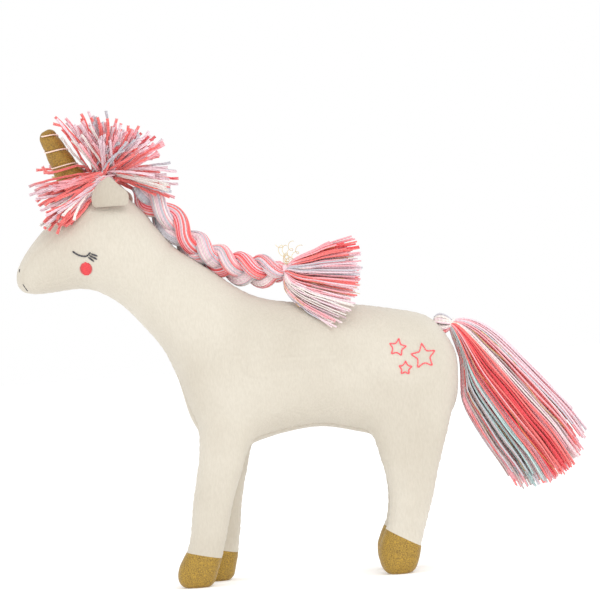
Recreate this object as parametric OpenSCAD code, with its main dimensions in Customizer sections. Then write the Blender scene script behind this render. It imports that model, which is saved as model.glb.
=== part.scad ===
// Plush unicorn toy: stuffed cotton body with flexing legs, a nodding head, floppy ears,
// a stuffed horn, and a braided yarn mane, forelock and tail.
// Millimetres. X runs from the nose to the tail, Y across the body, Z up, hooves on Z = 0.

/* [Body] */
// Half width of the trunk at the haunch
trunk_half_w = 41; // [36:0.5:43]
// Half width of the neck where it meets the head
neck_half_w = 31; // [27:0.5:33]
// Roundness of the body's cross section, 2 is an ellipse
body_round = 2.3; // [2:0.1:3]
// Thickness of the sewn cloth
cloth_t = 1.2; // [0.8:0.1:2]

/* [Head] */
// Half width of the head at the eyes
head_half_w = 30; // [26:0.5:32]
// Radius of the rounded back of the head, which turns in the neck
nod_r = 36; // [34:0.5:36]

/* [Legs] */
// Radius of a front leg's rounded top
front_top_r = 20.5; // [19:0.5:21]
// Radius of a hind leg's rounded top
hind_top_r = 31; // [29:0.5:31]
// Height of the front legs' hinge above the ground
front_hinge_z = 111; // [108:1:114]
// Height of the hind legs' hinge above the ground
hind_hinge_z = 119; // [116:1:122]
// Half width of a leg at its top
leg_half_w = 16; // [13:0.5:16]
// Distance from the middle of the body to the middle of a leg's top
leg_y = 22; // [22:0.5:23]
// How far back the right front hoof stands behind the left one
front_step = 14; // [0:1:14]
// How far forward the right hind hoof stands before the left one
hind_step = 0; // [0:1:6]
// How far a leg can swing each way, in degrees
leg_swing = 10; // [4:1:12]

/* [Horn and ears] */
// Length of the horn
horn_len = 58; // [45:1:62]
// Radius of the horn where it is sewn on
horn_base_r = 11.5; // [9:0.5:12]
// Lean of the horn forwards, in degrees
horn_lean = 25; // [15:1:28]
// Width of an ear along its sewn edge
ear_w = 28; // [20:1:30]
// Height of an ear
ear_h = 23; // [16:1:26]

/* [Yarn] */
// Radius of one strand of the braid
strand_r = 3.5; // [2.8:0.1:3.6]
// Length of braid in which a strand returns to the same side
braid_pitch = 60; // [52:1:72]
// Reach of the forelock's tufts
tuft_len = 45; // [36:1:48]

/* [Hidden] */

gap = 0.45;           // clearance between pieces that move against each other
stitch_gap = 0.4;     // height of the embroidery above the cloth
cols = 24;            // points round a body ring
leg_cols = 16;        // points round a leg ring
far = 200;            // longer than anything that is cut

// Hinges, each [x, z], about an axis along Y
nod_hinge = [-127, 247];
front_hinge = [-61.5, front_hinge_z];
hind_hinge = [79.5, hind_hinge_z];

// Body sections from neck to rump: [back x, back z, belly x, belly z, half width]
trunk = [
    [-94, 260, -129, 211, neck_half_w],
    [-80, 249, -106, 184, 34.5],
    [-66, 239, -93, 153, 36.5],
    [-52, 228, -85, 121, 38],
    [-37, 218.5, -60, 103, 39],
    [-18, 212, -24, 112, 39.5],
    [12, 208, 12, 116.5, 39.5],
    [42, 205, 42, 109, 40],
    [72, 199, 72, 104, trunk_half_w],
    [97, 191.5, 99, 108, 38],
    [110, 174, 111, 122, 28],
    [115, 160, 115, 138, 13],
    [114.5, 152, 114.5, 148, 2]
];

// Head sections from nose to the back of the head, in the same order of values
skull = [
    [-209.5, 242, -209.5, 239, 2],
    [-208.5, 246.5, -207.5, 233, 10],
    [-202, 258, -200, 228.7, 17.5],
    [-188, 275, -185, 229.2, 23],
    [-170, 291, -165, 230.8, 27.5],
    [-151, 301.5, -149, 227, head_half_w],
    [-131, 302, -135, 217, 31],
    [-114, 287, -122, 211.8, 30.5],
    [-101, 270, -108, 217.6, 28],
    [-94.5, 260, -97, 229.5, 20],
    [-91.4, 250, -91.6, 242.5, 6]
];

// Leg sections from ankle to hinge: [front z, rear z, front x, rear x, middle y, half width]
front_leg = [
    [27, 21, -96, -70, leg_y + 2, 12.8],
    [41, 38, -92, -65, leg_y + 1.5, 13],
    [58, 56, -90.2, -60.5, leg_y + 1, 13.7],
    [76, 75, -86.5, -54.5, leg_y + 0.5, 14.7],
    [94, 94, -83.2, -46.5, leg_y, 15.6]
];
hind_leg = [
    [34, 20, 55, 80, leg_y + 2, 13],
    [45, 37, 58, 85.5, leg_y + 1.5, 13.4],
    [62, 60, 59.3, 93, leg_y + 1, 14.2],
    [80, 80, 56.5, 98, leg_y + 0.5, 15],
    [100, 100, 50.5, 106, leg_y, 15.8]
];

// Hoof sections from the flat sole to the ankle
front_boot = [
    [0, 0, -99.5, -79, leg_y + 2, 11.5],
    [2.2, 2.2, -103, -76.8, leg_y + 2, 13.6],
    [9, 9, -105, -74.5, leg_y + 2, 14.8],
    [18, 16, -101.5, -71.8, leg_y + 2, 14.5],
    [26.8, 20.6, -96.6, -69.6, leg_y + 2, 13.4]
];
hind_boot = [
    [0, 0, 54, 73, leg_y + 2, 11.5],
    [2.2, 2.2, 51, 75.2, leg_y + 2, 13.6],
    [9, 8, 48.6, 77.3, leg_y + 2, 14.8],
    [21, 14, 48.6, 79.3, leg_y + 2, 14.6],
    [34, 19.4, 54.4, 80.5, leg_y + 2, 13.7]
];

// Yarn tassels, as body sections
tail_shape = [
    [119, 186.5, 115.5, 180.5, 4.5],
    [126, 187, 118.5, 166, 9],
    [137, 184, 121, 145, 13],
    [151, 172.5, 122.5, 126, 15.5],
    [168, 154, 130, 105, 17.5],
    [185, 135, 140, 86, 18.5],
    [201, 115, 150, 70, 18],
    [209, 102, 157, 66, 14]
];
mane_shape = [
    [-3, 238, -5, 226, 6],
    [6, 245, 0, 217, 8.5],
    [18, 250, 9, 206, 10],
    [31, 254, 21, 199, 10.5],
    [45, 252, 34, 203, 9]
];

// Middle of the braid as [x, z], from the forelock to the tie
root_line = [[-117, 306], [-110, 299], [-101, 290.5], [-96, 286]];
crest_line = [[-87, 274.5], [-83, 268.5], [-74, 260], [-63, 251.8], [-55, 246.6]];
loose_line = [[-45, 241.3], [-36, 238.6], [-27, 236.4], [-18, 234.7]];
mane_y = -4;          // the tie lies a little to the left of the middle

cloth = [0.93, 0.89, 0.8];
gold = [0.7, 0.55, 0.25];
coral = [0.96, 0.38, 0.38];
pink = [0.96, 0.7, 0.72];
thread = [0.2, 0.2, 0.22];
filling = [0.97, 0.97, 0.95];

// ---- shapes from rings of points ----

function between(a, b, c, d) = (9 * (b + c) - a - d) / 16;
function at(s, i) = s[min(max(i, 0), len(s) - 1)];
function refine(s) = [
    for (i = [0 : len(s) - 1]) each
        i == len(s) - 1 ? [s[i]] : [s[i], between(at(s, i - 1), s[i], s[i + 1], at(s, i + 2))]
];
function power(v, p) = sign(v) * pow(abs(v), 2 / p);
function unit(v) = v / max(norm(v), 0.001);
function middle(s) = [(s[0] + s[2]) / 2, (s[1] + s[3]) / 2];

// A ring of a body section, starting at the back and going down the left side
function body_ring(s, n = cols) = [
    for (i = [0 : n - 1])
        let (a = 360 * i / n, u = power(cos(a), body_round), v = power(sin(a), body_round))
        [middle(s).x + (s[0] - s[2]) / 2 * u, -s[4] * v, middle(s).y + (s[1] - s[3]) / 2 * u]
];

// The same section, smaller all round by t
function shrink(s, t) =
    let (d = unit([s[2] - s[0], s[3] - s[1]]), h = norm([s[2] - s[0], s[3] - s[1]]) / 2, k = min(t, h * 0.6))
    [s[0] + d.x * k, s[1] + d.y * k, s[2] - d.x * k, s[3] - d.y * k, max(s[4] - t, s[4] * 0.4)];

// All the sections smaller by t, with the first and last moved inwards too
function inset(s, t) = [
    for (i = [0 : len(s) - 1])
        let (q = shrink(s[i], t), n = len(s) - 1,
             step = i == 0 ? unit(middle(s[1]) - middle(s[0])) :
                    i == n ? unit(middle(s[n - 1]) - middle(s[n])) : [0, 0])
        q + t * [step.x, step.y, step.x, step.y, 0]
];
function rings_of(s, t = 0) = [for (q = inset(refine(s), t)) body_ring(q)];

// A ring of a leg section; depth is the point's distance above the hinge, as a share of the radius
function leg_ring(s, rise = 0) = [
    for (i = [0 : leg_cols - 1])
        let (a = 360 * i / leg_cols, c = cos(a), fill = pow(rise, 2) + (1 - pow(rise, 2)) * pow(c, 2),
             side = pow(max(1 - pow(fill, 1.5), 0), 1 / 3))
        [(s[2] + s[3]) / 2 + (s[2] - s[3]) / 2 * c, s[4] - s[5] * side * (sin(a) < 0 ? -1 : 1),
         (s[0] + s[1]) / 2 + (s[0] - s[1]) / 2 * c]
];
function leg_shrink(s, t) =
    let (k = t * (s[1] - s[0]) / (s[3] - s[2]))
    [s[0] + k, s[1] - k, s[2] + t, s[3] - t, s[4], s[5] - t];
function leg_shift(s, step, h) = [s[0], s[1], s[2] + step * (1 - s[0] / h.y), s[3] + step * (1 - s[1] / h.y), s[4], s[5]];
function leg_rings(s, h, r, step, t) =
    let (top = [h.y, h.y, h.x - r, h.x + r, leg_y, leg_half_w], all = refine(concat(s, [top])))
    concat(
        [for (q = all) leg_ring(leg_shrink(leg_shift(q, step, h), t))],
        [for (a = [16 : 16 : 80])
            let (z = h.y + (r - t) * sin(a), x = (r - t) * cos(a))
            leg_ring([z, z, h.x - x, h.x + x, leg_y, leg_half_w - t], sin(a))]
    );

// Triangles between rings; from and to pick the columns
function quads(m, n, from, to, base, flip) = [
    for (r = [0 : m - 2], i = [from : to - 1])
        let (a = base + r * n + i % n, b = base + r * n + (i + 1) % n, c = b + n, d = a + n)
        each flip ? [[a, b, c], [a, c, d]] : [[a, c, b], [a, d, c]]
];
function cap(n, base, flip) = flip ? [for (i = [n - 1 : -1 : 0]) base + i] : [for (i = [0 : n - 1]) base + i];

// A solid through all the rings
module loft(rings) {
    m = len(rings);
    n = len(rings[0]);
    polyhedron(
        points = [for (r = rings) each r],
        faces = concat(quads(m, n, 0, n, 0, false), [cap(n, 0, false)], [cap(n, (m - 1) * n, true)]),
        convexity = 8
    );
}

// A solid through rings that close on themselves
module loop_solid(rings) {
    m = len(rings);
    n = len(rings[0]);
    polyhedron(
        points = [for (r = rings) each r],
        faces = [
            for (r = [0 : m - 1], i = [0 : n - 1])
                let (a = r * n + i, b = r * n + (i + 1) % n, c = (r + 1) % m * n + (i + 1) % n, d = (r + 1) % m * n + i)
                each [[a, c, b], [a, d, c]]
        ],
        convexity = 8
    );
}

// A piece of cloth between an outer and an inner set of rings, from one column to another
module patch(outer, inner, from, to) {
    m = len(outer);
    n = len(outer[0]);
    k = m * n;
    polyhedron(
        points = concat([for (r = outer) each r], [for (r = inner) each r]),
        faces = concat(
            quads(m, n, from, to, 0, false),
            quads(m, n, from, to, k, true),
            [for (r = [0 : m - 2]) let (a = r * n + from % n, b = a + n) each [[a, a + k, b + k], [a, b + k, b]]],
            [for (r = [0 : m - 2]) let (a = r * n + to % n, b = a + n) each [[a, b + k, a + k], [a, b, b + k]]],
            [for (i = [from : to - 1]) let (a = i % n, b = (i + 1) % n) each [[a, b, b + k], [a, b + k, a + k]]],
            [for (i = [from : to - 1])
                let (a = (m - 1) * n + i % n, b = (m - 1) * n + (i + 1) % n)
                each [[a, b + k, b], [a, a + k, b + k]]]
        ),
        convexity = 8
    );
}

// A closed bag of cloth: outer rings round inner rings, open at the first ring
module shell(outer, inner) {
    m = len(outer);
    n = len(outer[0]);
    k = m * n;
    polyhedron(
        points = concat([for (r = outer) each r], [for (r = inner) each r]),
        faces = concat(
            quads(m, n, 0, n, 0, false),
            quads(m, n, 0, n, k, true),
            [cap(n, (m - 1) * n, true)],
            [cap(n, k + (m - 1) * n, false)],
            [for (i = [0 : n - 1]) let (b = (i + 1) % n) each [[i, b, b + k], [i, b + k, i + k]]]
        ),
        convexity = 8
    );
}

// Half width of a smooth body at the point [x, z], measured between its two nearest sections
function cut(s, p) = (s[2] - s[0]) * (p.y - s[1]) - (s[3] - s[1]) * (p.x - s[0]);
function width_at(all, p) =
    let (found = [
        for (i = [0 : len(all) - 2])
            let (a = cut(all[i], p), b = cut(all[i + 1], p))
            if (a * b <= 0 && a != b)
                let (s = all[i] + (all[i + 1] - all[i]) * a / (a - b), r = [s[0] - s[2], s[1] - s[3]] / 2,
                     u = (p - middle(s)) * r / (r * r))
                s[4] * pow(max(1 - pow(abs(u), body_round), 0), 1 / body_round)
    ])
    max(concat(found, [0]));

// A point on the left side of a body, raised off the cloth by h
function on_side(all, p, h) = [p.x, -width_at(all, p) - h, p.y];

// ---- body ----

// Room for a leg as it swings forwards and back
module leg_room(h, r) {
    for (turn = [-leg_swing, leg_swing])
        translate([h.x, 0, h.y])
            rotate([90, turn, 0])
                translate([0, 0, leg_y - leg_half_w - gap])
                    linear_extrude(far)
                        hull() {
                            circle(r + gap, $fn = 28);
                            translate([-r - gap, -far / 2])
                                square([2 * (r + gap), 1]);
                        }
}

module all_leg_room() {
    for (flip = [0, 1])
        mirror([0, flip, 0]) {
            leg_room(front_hinge, front_top_r);
            leg_room(hind_hinge, hind_top_r);
        }
}

// Room for the back of the head
module head_room() {
    translate([nod_hinge.x, 0, nod_hinge.y])
        rotate([90, 0, 0])
            cylinder(r = nod_r + gap, h = far, center = true, $fn = 40);
}

module body_cloth(from, to) {
    difference() {
        patch(rings_of(trunk), rings_of(trunk, cloth_t), from, to);
        all_leg_room();
        head_room();
    }
}

module side_panel_left() {
    color(cloth) body_cloth(0, 10);
}

module side_panel_right() {
    color(cloth) body_cloth(14, 24);
}

module belly_gusset() {
    color(cloth) body_cloth(10, 14);
}

module torso_stuffing() {
    color(filling)
        difference() {
            loft(rings_of(trunk, cloth_t));
            all_leg_room();
            head_room();
        }
}

// Rings of four points along a closed or open line of thread, w wide, on the side of a body
function thread_rings(all, line, w) = [
    for (i = [0 : len(line) - 1])
        let (d = unit(at(line, i + 1) - at(line, i - 1)), n = [-d.y, d.x] * w / 2)
        [on_side(all, line[i] + n, stitch_gap), on_side(all, line[i] + n, stitch_gap + 0.7),
         on_side(all, line[i] - n, stitch_gap + 0.7), on_side(all, line[i] - n, stitch_gap)]
];

// An outlined five-pointed star of thread at c, with its tips on radius r, turned by turn
function star_points(c, r, turn) = [
    for (i = [0 : 10]) let (q = i % 2 == 0 ? r : r * 0.48) c + q * [sin(36 * i + turn), cos(36 * i + turn)]
];

module star(c, r, turn) {
    rim = star_points(c, r, turn);
    slot = star_points(c, r * 0.76, turn);
    all = refine(trunk);
    rings = [
        for (i = [0 : 10])
            [on_side(all, rim[i], stitch_gap), on_side(all, rim[i], stitch_gap + 0.7),
             on_side(all, slot[i], stitch_gap + 0.7), on_side(all, slot[i], stitch_gap)]
    ];
    loop_solid([for (i = [0 : 9]) rings[i]]);
}

module stars() {
    star([72, 170], 6.8, 8);
    star([91, 162.5], 9.4, -6);
    star([77, 154], 5.2, 4);
}

module stars_left() {
    color(coral) stars();
}

module stars_right() {
    color(coral) mirror([0, 1, 0]) stars();
}

// ---- head ----

module head_cloth(from, to) {
    patch(rings_of(skull), rings_of(skull, cloth_t), from, to);
}

module head_stuffing() {
    color(filling) loft(rings_of(skull, cloth_t));
}

module head_gusset() {
    color(cloth) head_cloth(22, 26);
}

module head_panel_left() {
    color(cloth) head_cloth(2, 12);
}

module head_panel_right() {
    color(cloth) head_cloth(12, 22);
}

// A thread along [x, z] points on the left side of the head
module stitch(line) {
    loft(thread_rings(refine(skull), line, 1));
}

// The closed eye: a long curved lid line with three lashes at its back end
module eye() {
    stitch([[-166, 258.7], [-163.5, 256.5], [-160, 254.8], [-156.5, 254.3], [-155, 254.8], [-153, 257]]);
    stitch([[-154.6, 253.6], [-150.8, 250.2]]);
    stitch([[-153.4, 254.6], [-148.4, 251.7]]);
    stitch([[-152.4, 256], [-147.9, 254]]);
}

module eye_left() {
    color(thread) eye();
}

module eye_right() {
    color(thread) mirror([0, 1, 0]) eye();
}

module cheek() {
    all = refine(skull);
    disc = [for (i = [0 : 11]) [-157, 245] + 4.7 * [cos(30 * i), sin(30 * i)]];
    loft([[for (p = disc) on_side(all, p, stitch_gap)], [for (p = disc) on_side(all, p, stitch_gap + 0.7)]]);
}

module cheek_left() {
    color(coral) cheek();
}

module cheek_right() {
    color(coral) mirror([0, 1, 0]) cheek();
}

// The same dash of thread on both sides of the nose
module nose_dash(line) {
    for (flip = [0, 1])
        mirror([0, flip, 0])
            translate([-0.8, 0, 0])
                stitch(line);
}

module nostril_stitches() {
    color(thread) nose_dash([[-207, 248.6], [-206.8, 247.2], [-206.9, 245.8]]);
}

module mouth_stitches() {
    color(thread) nose_dash([[-205.5, 236.8], [-203.7, 234], [-202.3, 231.8]]);
}

// ---- ears, each a folded leaf of two layers ----

module ear_leaf(y, t, edge) {
    translate([-134, y, 290.6])
        rotate([90, 0, 0])
            linear_extrude(t)
                offset(r = 1.5, $fn = 16)
                    offset(delta = -1.5 - edge)
                        polygon([[-ear_w / 2, 0], [ear_w / 2, 0], [ear_w / 2 - 1, 6], [0, ear_h], [-ear_w / 2 - 1, 9]]);
}

module ear_outer() {
    ear_leaf(-28.2, 1.8, 0);
}

module ear_lining() {
    ear_leaf(-26.4, 1.8, 0.6);
}

module ear_left_outer() {
    color(cloth) ear_outer();
}

module ear_left_lining() {
    color(cloth) ear_lining();
}

module ear_right_outer() {
    color(cloth) mirror([0, 1, 0]) ear_outer();
}

module ear_right_lining() {
    color(cloth) mirror([0, 1, 0]) ear_lining();
}

// ---- horn ----

horn_base = [-158.5, 299.5];
function horn_r(s) = s < 0.9 ? horn_base_r - 6.6 * s : (horn_base_r - 5.94) * sqrt(max(1 - pow((s - 0.9) / 0.105, 2), 0));
function horn_point(s, r, a) =
    let (x = r * cos(a), y = r * sin(a), z = horn_len * s)
    [horn_base.x + x * cos(horn_lean) - z * sin(horn_lean), y, horn_base.y + x * sin(horn_lean) + z * cos(horn_lean)];
function horn_rings(t) = [
    for (s = [0, 0.15, 0.3, 0.45, 0.6, 0.75, 0.9, 0.95, 0.98])
        [for (i = [0 : 15]) horn_point(s == 0 ? 0 : s - t / horn_len, max(horn_r(s) - t, 0.8), 22.5 * i)]
];

module horn_cover() {
    color(gold) shell(horn_rings(0), horn_rings(1));
}

module horn_stuffing() {
    color(filling) loft(horn_rings(1));
}

// A thin tube through [x, y, z] points
function tube_rings(p, r, n) = [
    for (i = [0 : len(p) - 1])
        let (d = unit(at(p, i + 1) - at(p, i - 1)), u = unit(cross([0, 1, 0.01], d)), v = cross(d, u))
        [for (k = [0 : n - 1]) p[i] + r * (u * cos(360 * k / n) + v * sin(360 * k / n))]
];

module horn_thread() {
    turns = 4.5;
    steps = 10;
    color(pink)
        loft([
            for (i = [0 : turns * steps])
                let (s = 0.1 + 0.85 * i / turns / steps, a = 360 * i / steps, r = horn_r(s) + 1.5)
                [for (k = [0 : 3]) horn_point(s - 0.6 / horn_len * sin(90 * k + 45), r + 0.6 * cos(90 * k + 45), a)]
        ]);
}

// ---- legs ----

module leg_part(part, s, boot, h, r, step, side) {
    outer = leg_rings(s, h, r, step, 0);
    inner = leg_rings(s, h, r, step, cloth_t);
    half = leg_cols / 2;
    mirror([0, side < 0 ? 1 : 0, 0]) {
        if (part == "outer") patch(outer, inner, half, leg_cols);
        if (part == "inner") patch(outer, inner, 0, half);
        if (part == "stuffing") loft(inner);
        if (part == "hoof") loft([for (q = refine(boot)) leg_ring(leg_shift(q, step, h))]);
    }
}

module front_part(part, side) {
    leg_part(part, front_leg, front_boot, front_hinge, front_top_r, side < 0 ? 0 : front_step, side);
}

module hind_part(part, side) {
    leg_part(part, hind_leg, hind_boot, hind_hinge, hind_top_r, side < 0 ? 0 : -hind_step, side);
}

module front_left_leg_outer() {
    color(cloth) front_part("outer", -1);
}

module front_left_leg_inner() {
    color(cloth) front_part("inner", -1);
}

module front_left_leg_stuffing() {
    color(filling) front_part("stuffing", -1);
}

module front_left_hoof() {
    color(gold) front_part("hoof", -1);
}

module front_right_leg_outer() {
    color(cloth) front_part("outer", 1);
}

module front_right_leg_inner() {
    color(cloth) front_part("inner", 1);
}

module front_right_leg_stuffing() {
    color(filling) front_part("stuffing", 1);
}

module front_right_hoof() {
    color(gold) front_part("hoof", 1);
}

module hind_left_leg_outer() {
    color(cloth) hind_part("outer", -1);
}

module hind_left_leg_inner() {
    color(cloth) hind_part("inner", -1);
}

module hind_left_leg_stuffing() {
    color(filling) hind_part("stuffing", -1);
}

module hind_left_hoof() {
    color(gold) hind_part("hoof", -1);
}

module hind_right_leg_outer() {
    color(cloth) hind_part("outer", 1);
}

module hind_right_leg_inner() {
    color(cloth) hind_part("inner", 1);
}

module hind_right_leg_stuffing() {
    color(filling) hind_part("stuffing", 1);
}

module hind_right_hoof() {
    color(gold) hind_part("hoof", 1);
}

// ---- yarn ----

// Points along a braid strand: it weaves from side to side of the line and in and out
function weave(line, phase, start, y) =
    let (p = refine(refine(line)))
    [for (i = [0 : len(p) - 1])
        let (d = unit(at(p, i + 1) - at(p, i - 1)), a = 360 * (start + p[i].x) / braid_pitch + phase,
             side = 7.5 * sin(a), out = 5.5 * sin(2 * a))
        [p[i].x - d.y * side, y + out, p[i].y + d.x * side]];

module strand(line, phase, y = 0) {
    loft(tube_rings(weave(line, phase, 0, y), strand_r, 8));
}

module braid_strand_a() {
    color(coral) strand(crest_line, 0);
}

module braid_strand_b() {
    color(pink) strand(crest_line, 120);
}

module braid_strand_c() {
    color("lightgray") strand(crest_line, 240);
}

module braid_root() {
    color(pink)
        for (phase = [0, 120, 240]) strand(root_line, phase);
}

module braid_end() {
    color(coral)
        for (phase = [0, 120, 240]) strand(loose_line, phase, mane_y / 2);
}

// A band of thread wound round a bundle of yarn at c, along the [x, z] direction d
module band(c, d, r, w) {
    translate(c)
        rotate([0, 90 - atan2(d.y, d.x), 0])
            rotate_extrude($fn = 12)
                polygon([[0, -w / 2], [r * 0.8, -w / 2], [r, -w / 4], [r, w / 4], [r * 0.8, w / 2], [0, w / 2]]);
}

module mane_tie() {
    color(pink) band([-8, mane_y, 232.7], [1, -0.1], 7.5, 5);
}

// The mane's tassel hangs over the left side of the back, so its lower edge lies further out
module mane_tassel() {
    lean = 0.5;
    color(pink)
        loft([for (r = rings_of(mane_shape))
            [for (p = r) [p.x, p.y + mane_y - (238 - p.z) * lean - (p.x + 5) * 0.3, p.z]]]);
}

module tail_knot() {
    color(pink)
        translate([109.3, 0, 189.4])
            sphere(r = 6.2, $fn = 12);
}

module tail_tie() {
    color(pink) band([115.7, 0, 184.5], [0.8, -0.6], 4.6, 2.2);
}

module tail_tassel() {
    color(coral) loft(rings_of(tail_shape));
}

// The forelock: tufts that fan out from a knot on top of the head, clear of the horn and the ears
forelock_at = [-140, 0, 317];
module tuft(turn, rise) {
    translate(forelock_at)
        rotate([0, -rise, turn])
            rotate([0, 90, 0])
                hull() {
                    translate([0, 0, 5]) cylinder(r = 2.5, h = 1, $fn = 6);
                    translate([0, 0, tuft_len - 6]) cylinder(r1 = 5.5, r2 = 3, h = 6, $fn = 6);
                }
}

module forelock_yarn() {
    color(pink)
        union() {
            translate(forelock_at) sphere(r = 10, $fn = 14);
            for (turn = [0 : 90 : 270]) tuft(turn + 45, 68);
            for (turn = [-125 : 50 : 125]) tuft(turn, 33);
            for (turn = [-38, 0, 38, 128, -128]) tuft(turn, 6);
            for (turn = [95, -95]) tuft(turn, 12);
        }
}

module forelock_tie() {
    color(coral) band([-140, 0, 305], [0, 1], 5, 2.4);
}

torso_stuffing();
side_panel_left();
side_panel_right();
belly_gusset();
stars_left();
stars_right();
braid_strand_a();
braid_strand_b();
braid_strand_c();
head_stuffing();
head_panel_left();
head_panel_right();
head_gusset();
eye_left();
eye_right();
cheek_left();
cheek_right();
nostril_stitches();
mouth_stitches();
forelock_yarn();
forelock_tie();
braid_root();
ear_left_outer();
ear_left_lining();
ear_right_outer();
ear_right_lining();
horn_cover();
horn_stuffing();
horn_thread();
front_left_leg_outer();
front_left_leg_inner();
front_left_leg_stuffing();
front_left_hoof();
front_right_leg_outer();
front_right_leg_inner();
front_right_leg_stuffing();
front_right_hoof();
hind_left_leg_outer();
hind_left_leg_inner();
hind_left_leg_stuffing();
hind_left_hoof();
hind_right_leg_outer();
hind_right_leg_inner();
hind_right_leg_stuffing();
hind_right_hoof();
braid_end();
mane_tie();
mane_tassel();
tail_knot();
tail_tie();
tail_tassel();
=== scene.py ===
# %% [markdown]
# # A stuffed unicorn with a yarn mane
#
# The toy is a cotton bag, cut from a few panels, sewn and stuffed. Its hooves and horn are gold
# cloth, and its forelock, plait and tail are knitting yarn. This lesson first makes one smooth
# skin for the whole animal, lets a cloth simulation swell it, and then cuts it where the toy
# bends. The embroidery and the yarn are laid on that skin afterwards.

# %% Load the frame that everything is built around
import math
import random

import bmesh
import bpy
import numpy as np
from mathutils import Matrix, Vector
from mathutils.bvhtree import BVHTree
from mathutils.kdtree import KDTree


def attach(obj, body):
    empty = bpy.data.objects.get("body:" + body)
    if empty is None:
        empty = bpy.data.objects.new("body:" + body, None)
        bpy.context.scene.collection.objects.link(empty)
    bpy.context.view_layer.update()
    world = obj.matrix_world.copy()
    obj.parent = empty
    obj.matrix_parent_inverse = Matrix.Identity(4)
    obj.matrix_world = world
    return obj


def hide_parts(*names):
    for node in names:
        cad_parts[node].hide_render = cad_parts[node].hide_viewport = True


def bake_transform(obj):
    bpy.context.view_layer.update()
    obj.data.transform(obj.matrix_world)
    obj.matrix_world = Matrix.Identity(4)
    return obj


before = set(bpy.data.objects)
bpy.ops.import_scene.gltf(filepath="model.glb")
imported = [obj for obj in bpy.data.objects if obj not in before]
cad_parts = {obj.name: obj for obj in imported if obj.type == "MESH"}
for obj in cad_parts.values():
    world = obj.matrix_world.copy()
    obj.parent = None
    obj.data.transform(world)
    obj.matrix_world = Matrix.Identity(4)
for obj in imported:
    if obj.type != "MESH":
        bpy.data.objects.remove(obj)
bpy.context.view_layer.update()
MM = 0.001

# %% [markdown]
# ## Camera, light and floor
#
# A catalogue picture of a toy is taken from far away with a long lens, so that nothing is
# stretched. The camera here stands level with the middle of the toy and is rolled by four
# degrees. Soft light from a pale surrounding and three large lamps leaves only faint shadows.

# %% Camera
ROLL = math.radians(3.96)
DISTANCE = 2.5
AIM = Vector((0.0019, 0, 0.2105))
VIEW_WIDTH = 0.4565
camera = bpy.data.objects.new("camera", bpy.data.cameras.new("camera"))
bpy.context.scene.collection.objects.link(camera)
right = Vector((math.cos(ROLL), 0, -math.sin(ROLL)))
up = Vector((math.sin(ROLL), 0, math.cos(ROLL)))
camera.matrix_world = Matrix.Translation(AIM - Vector((0, DISTANCE, 0))) @ Matrix(
    (right, up, right.cross(up))
).transposed().to_4x4()
camera.data.sensor_width = 36
camera.data.lens = 36 * DISTANCE / VIEW_WIDTH
bpy.context.scene.camera = camera
print("camera", tuple(round(v, 3) for v in camera.location))


# %% Light
LAMP_TARGET = Vector((0, 0, 0.2))


def lamp(name, place, size, power):
    data = bpy.data.lights.new(name, "AREA")
    data.size = size
    data.energy = power
    obj = bpy.data.objects.new(name, data)
    obj.location = place
    obj.rotation_mode = "QUATERNION"
    obj.rotation_quaternion = (LAMP_TARGET - Vector(place)).to_track_quat("-Z", "Y")
    bpy.context.scene.collection.objects.link(obj)


lamp("key_light", (0.5, -1.7, 1.8), 1.2, 13)
lamp("fill_light", (1.6, -1.2, 0.8), 1.5, 5)
lamp("edge_light", (-1.7, -0.5, 0.3), 1.0, 4)
world = bpy.data.worlds.new("studio")
world.use_nodes = True
world.node_tree.nodes["Background"].inputs["Color"].default_value = (1, 1, 1, 1)
world.node_tree.nodes["Background"].inputs["Strength"].default_value = 1.0
bpy.context.scene.world = world
bpy.context.scene.view_settings.view_transform = "Standard"

# %% [markdown]
# ## Finishes
#
# Cotton, gold cloth and yarn share two effects: a woven surface and a mottled tone. Each is a
# node group that puts out a height or a mask, and each finish uses them with its own values.
# All of them read Object coordinates or a piece's own attributes, so nothing slides when a
# piece moves.


# %% Helpers for node trees
def tone(red, green, blue):
    """A colour given in 0 to 255, as a linear colour."""
    parts = [c / 255 for c in (red, green, blue)]
    return tuple(
        c / 12.92 if c <= 0.04045 else ((c + 0.055) / 1.055) ** 2.4 for c in parts
    ) + (1.0,)


def math_node(tree, operation, a, b=None):
    node = tree.nodes.new("ShaderNodeMath")
    node.operation = operation
    for socket, value in zip(node.inputs, (a, b)):
        if value is None:
            continue
        if isinstance(value, (int, float)):
            socket.default_value = value
        else:
            tree.links.new(value, socket)
    return node.outputs[0]


def noise_node(tree, vector, scale, detail):
    node = tree.nodes.new("ShaderNodeTexNoise")
    node.inputs["Scale"].default_value = scale
    node.inputs["Detail"].default_value = detail
    tree.links.new(vector, node.inputs["Vector"])
    return node.outputs["Fac"]


def new_group(name, outputs):
    group = bpy.data.node_groups.new(name, "ShaderNodeTree")
    group.interface.new_socket("Scale", in_out="INPUT", socket_type="NodeSocketFloat")
    for output in outputs:
        group.interface.new_socket(output, in_out="OUTPUT", socket_type="NodeSocketFloat")
    source = group.nodes.new("NodeGroupInput")
    return group, source.outputs["Scale"], group.nodes.new("NodeGroupOutput")


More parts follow.
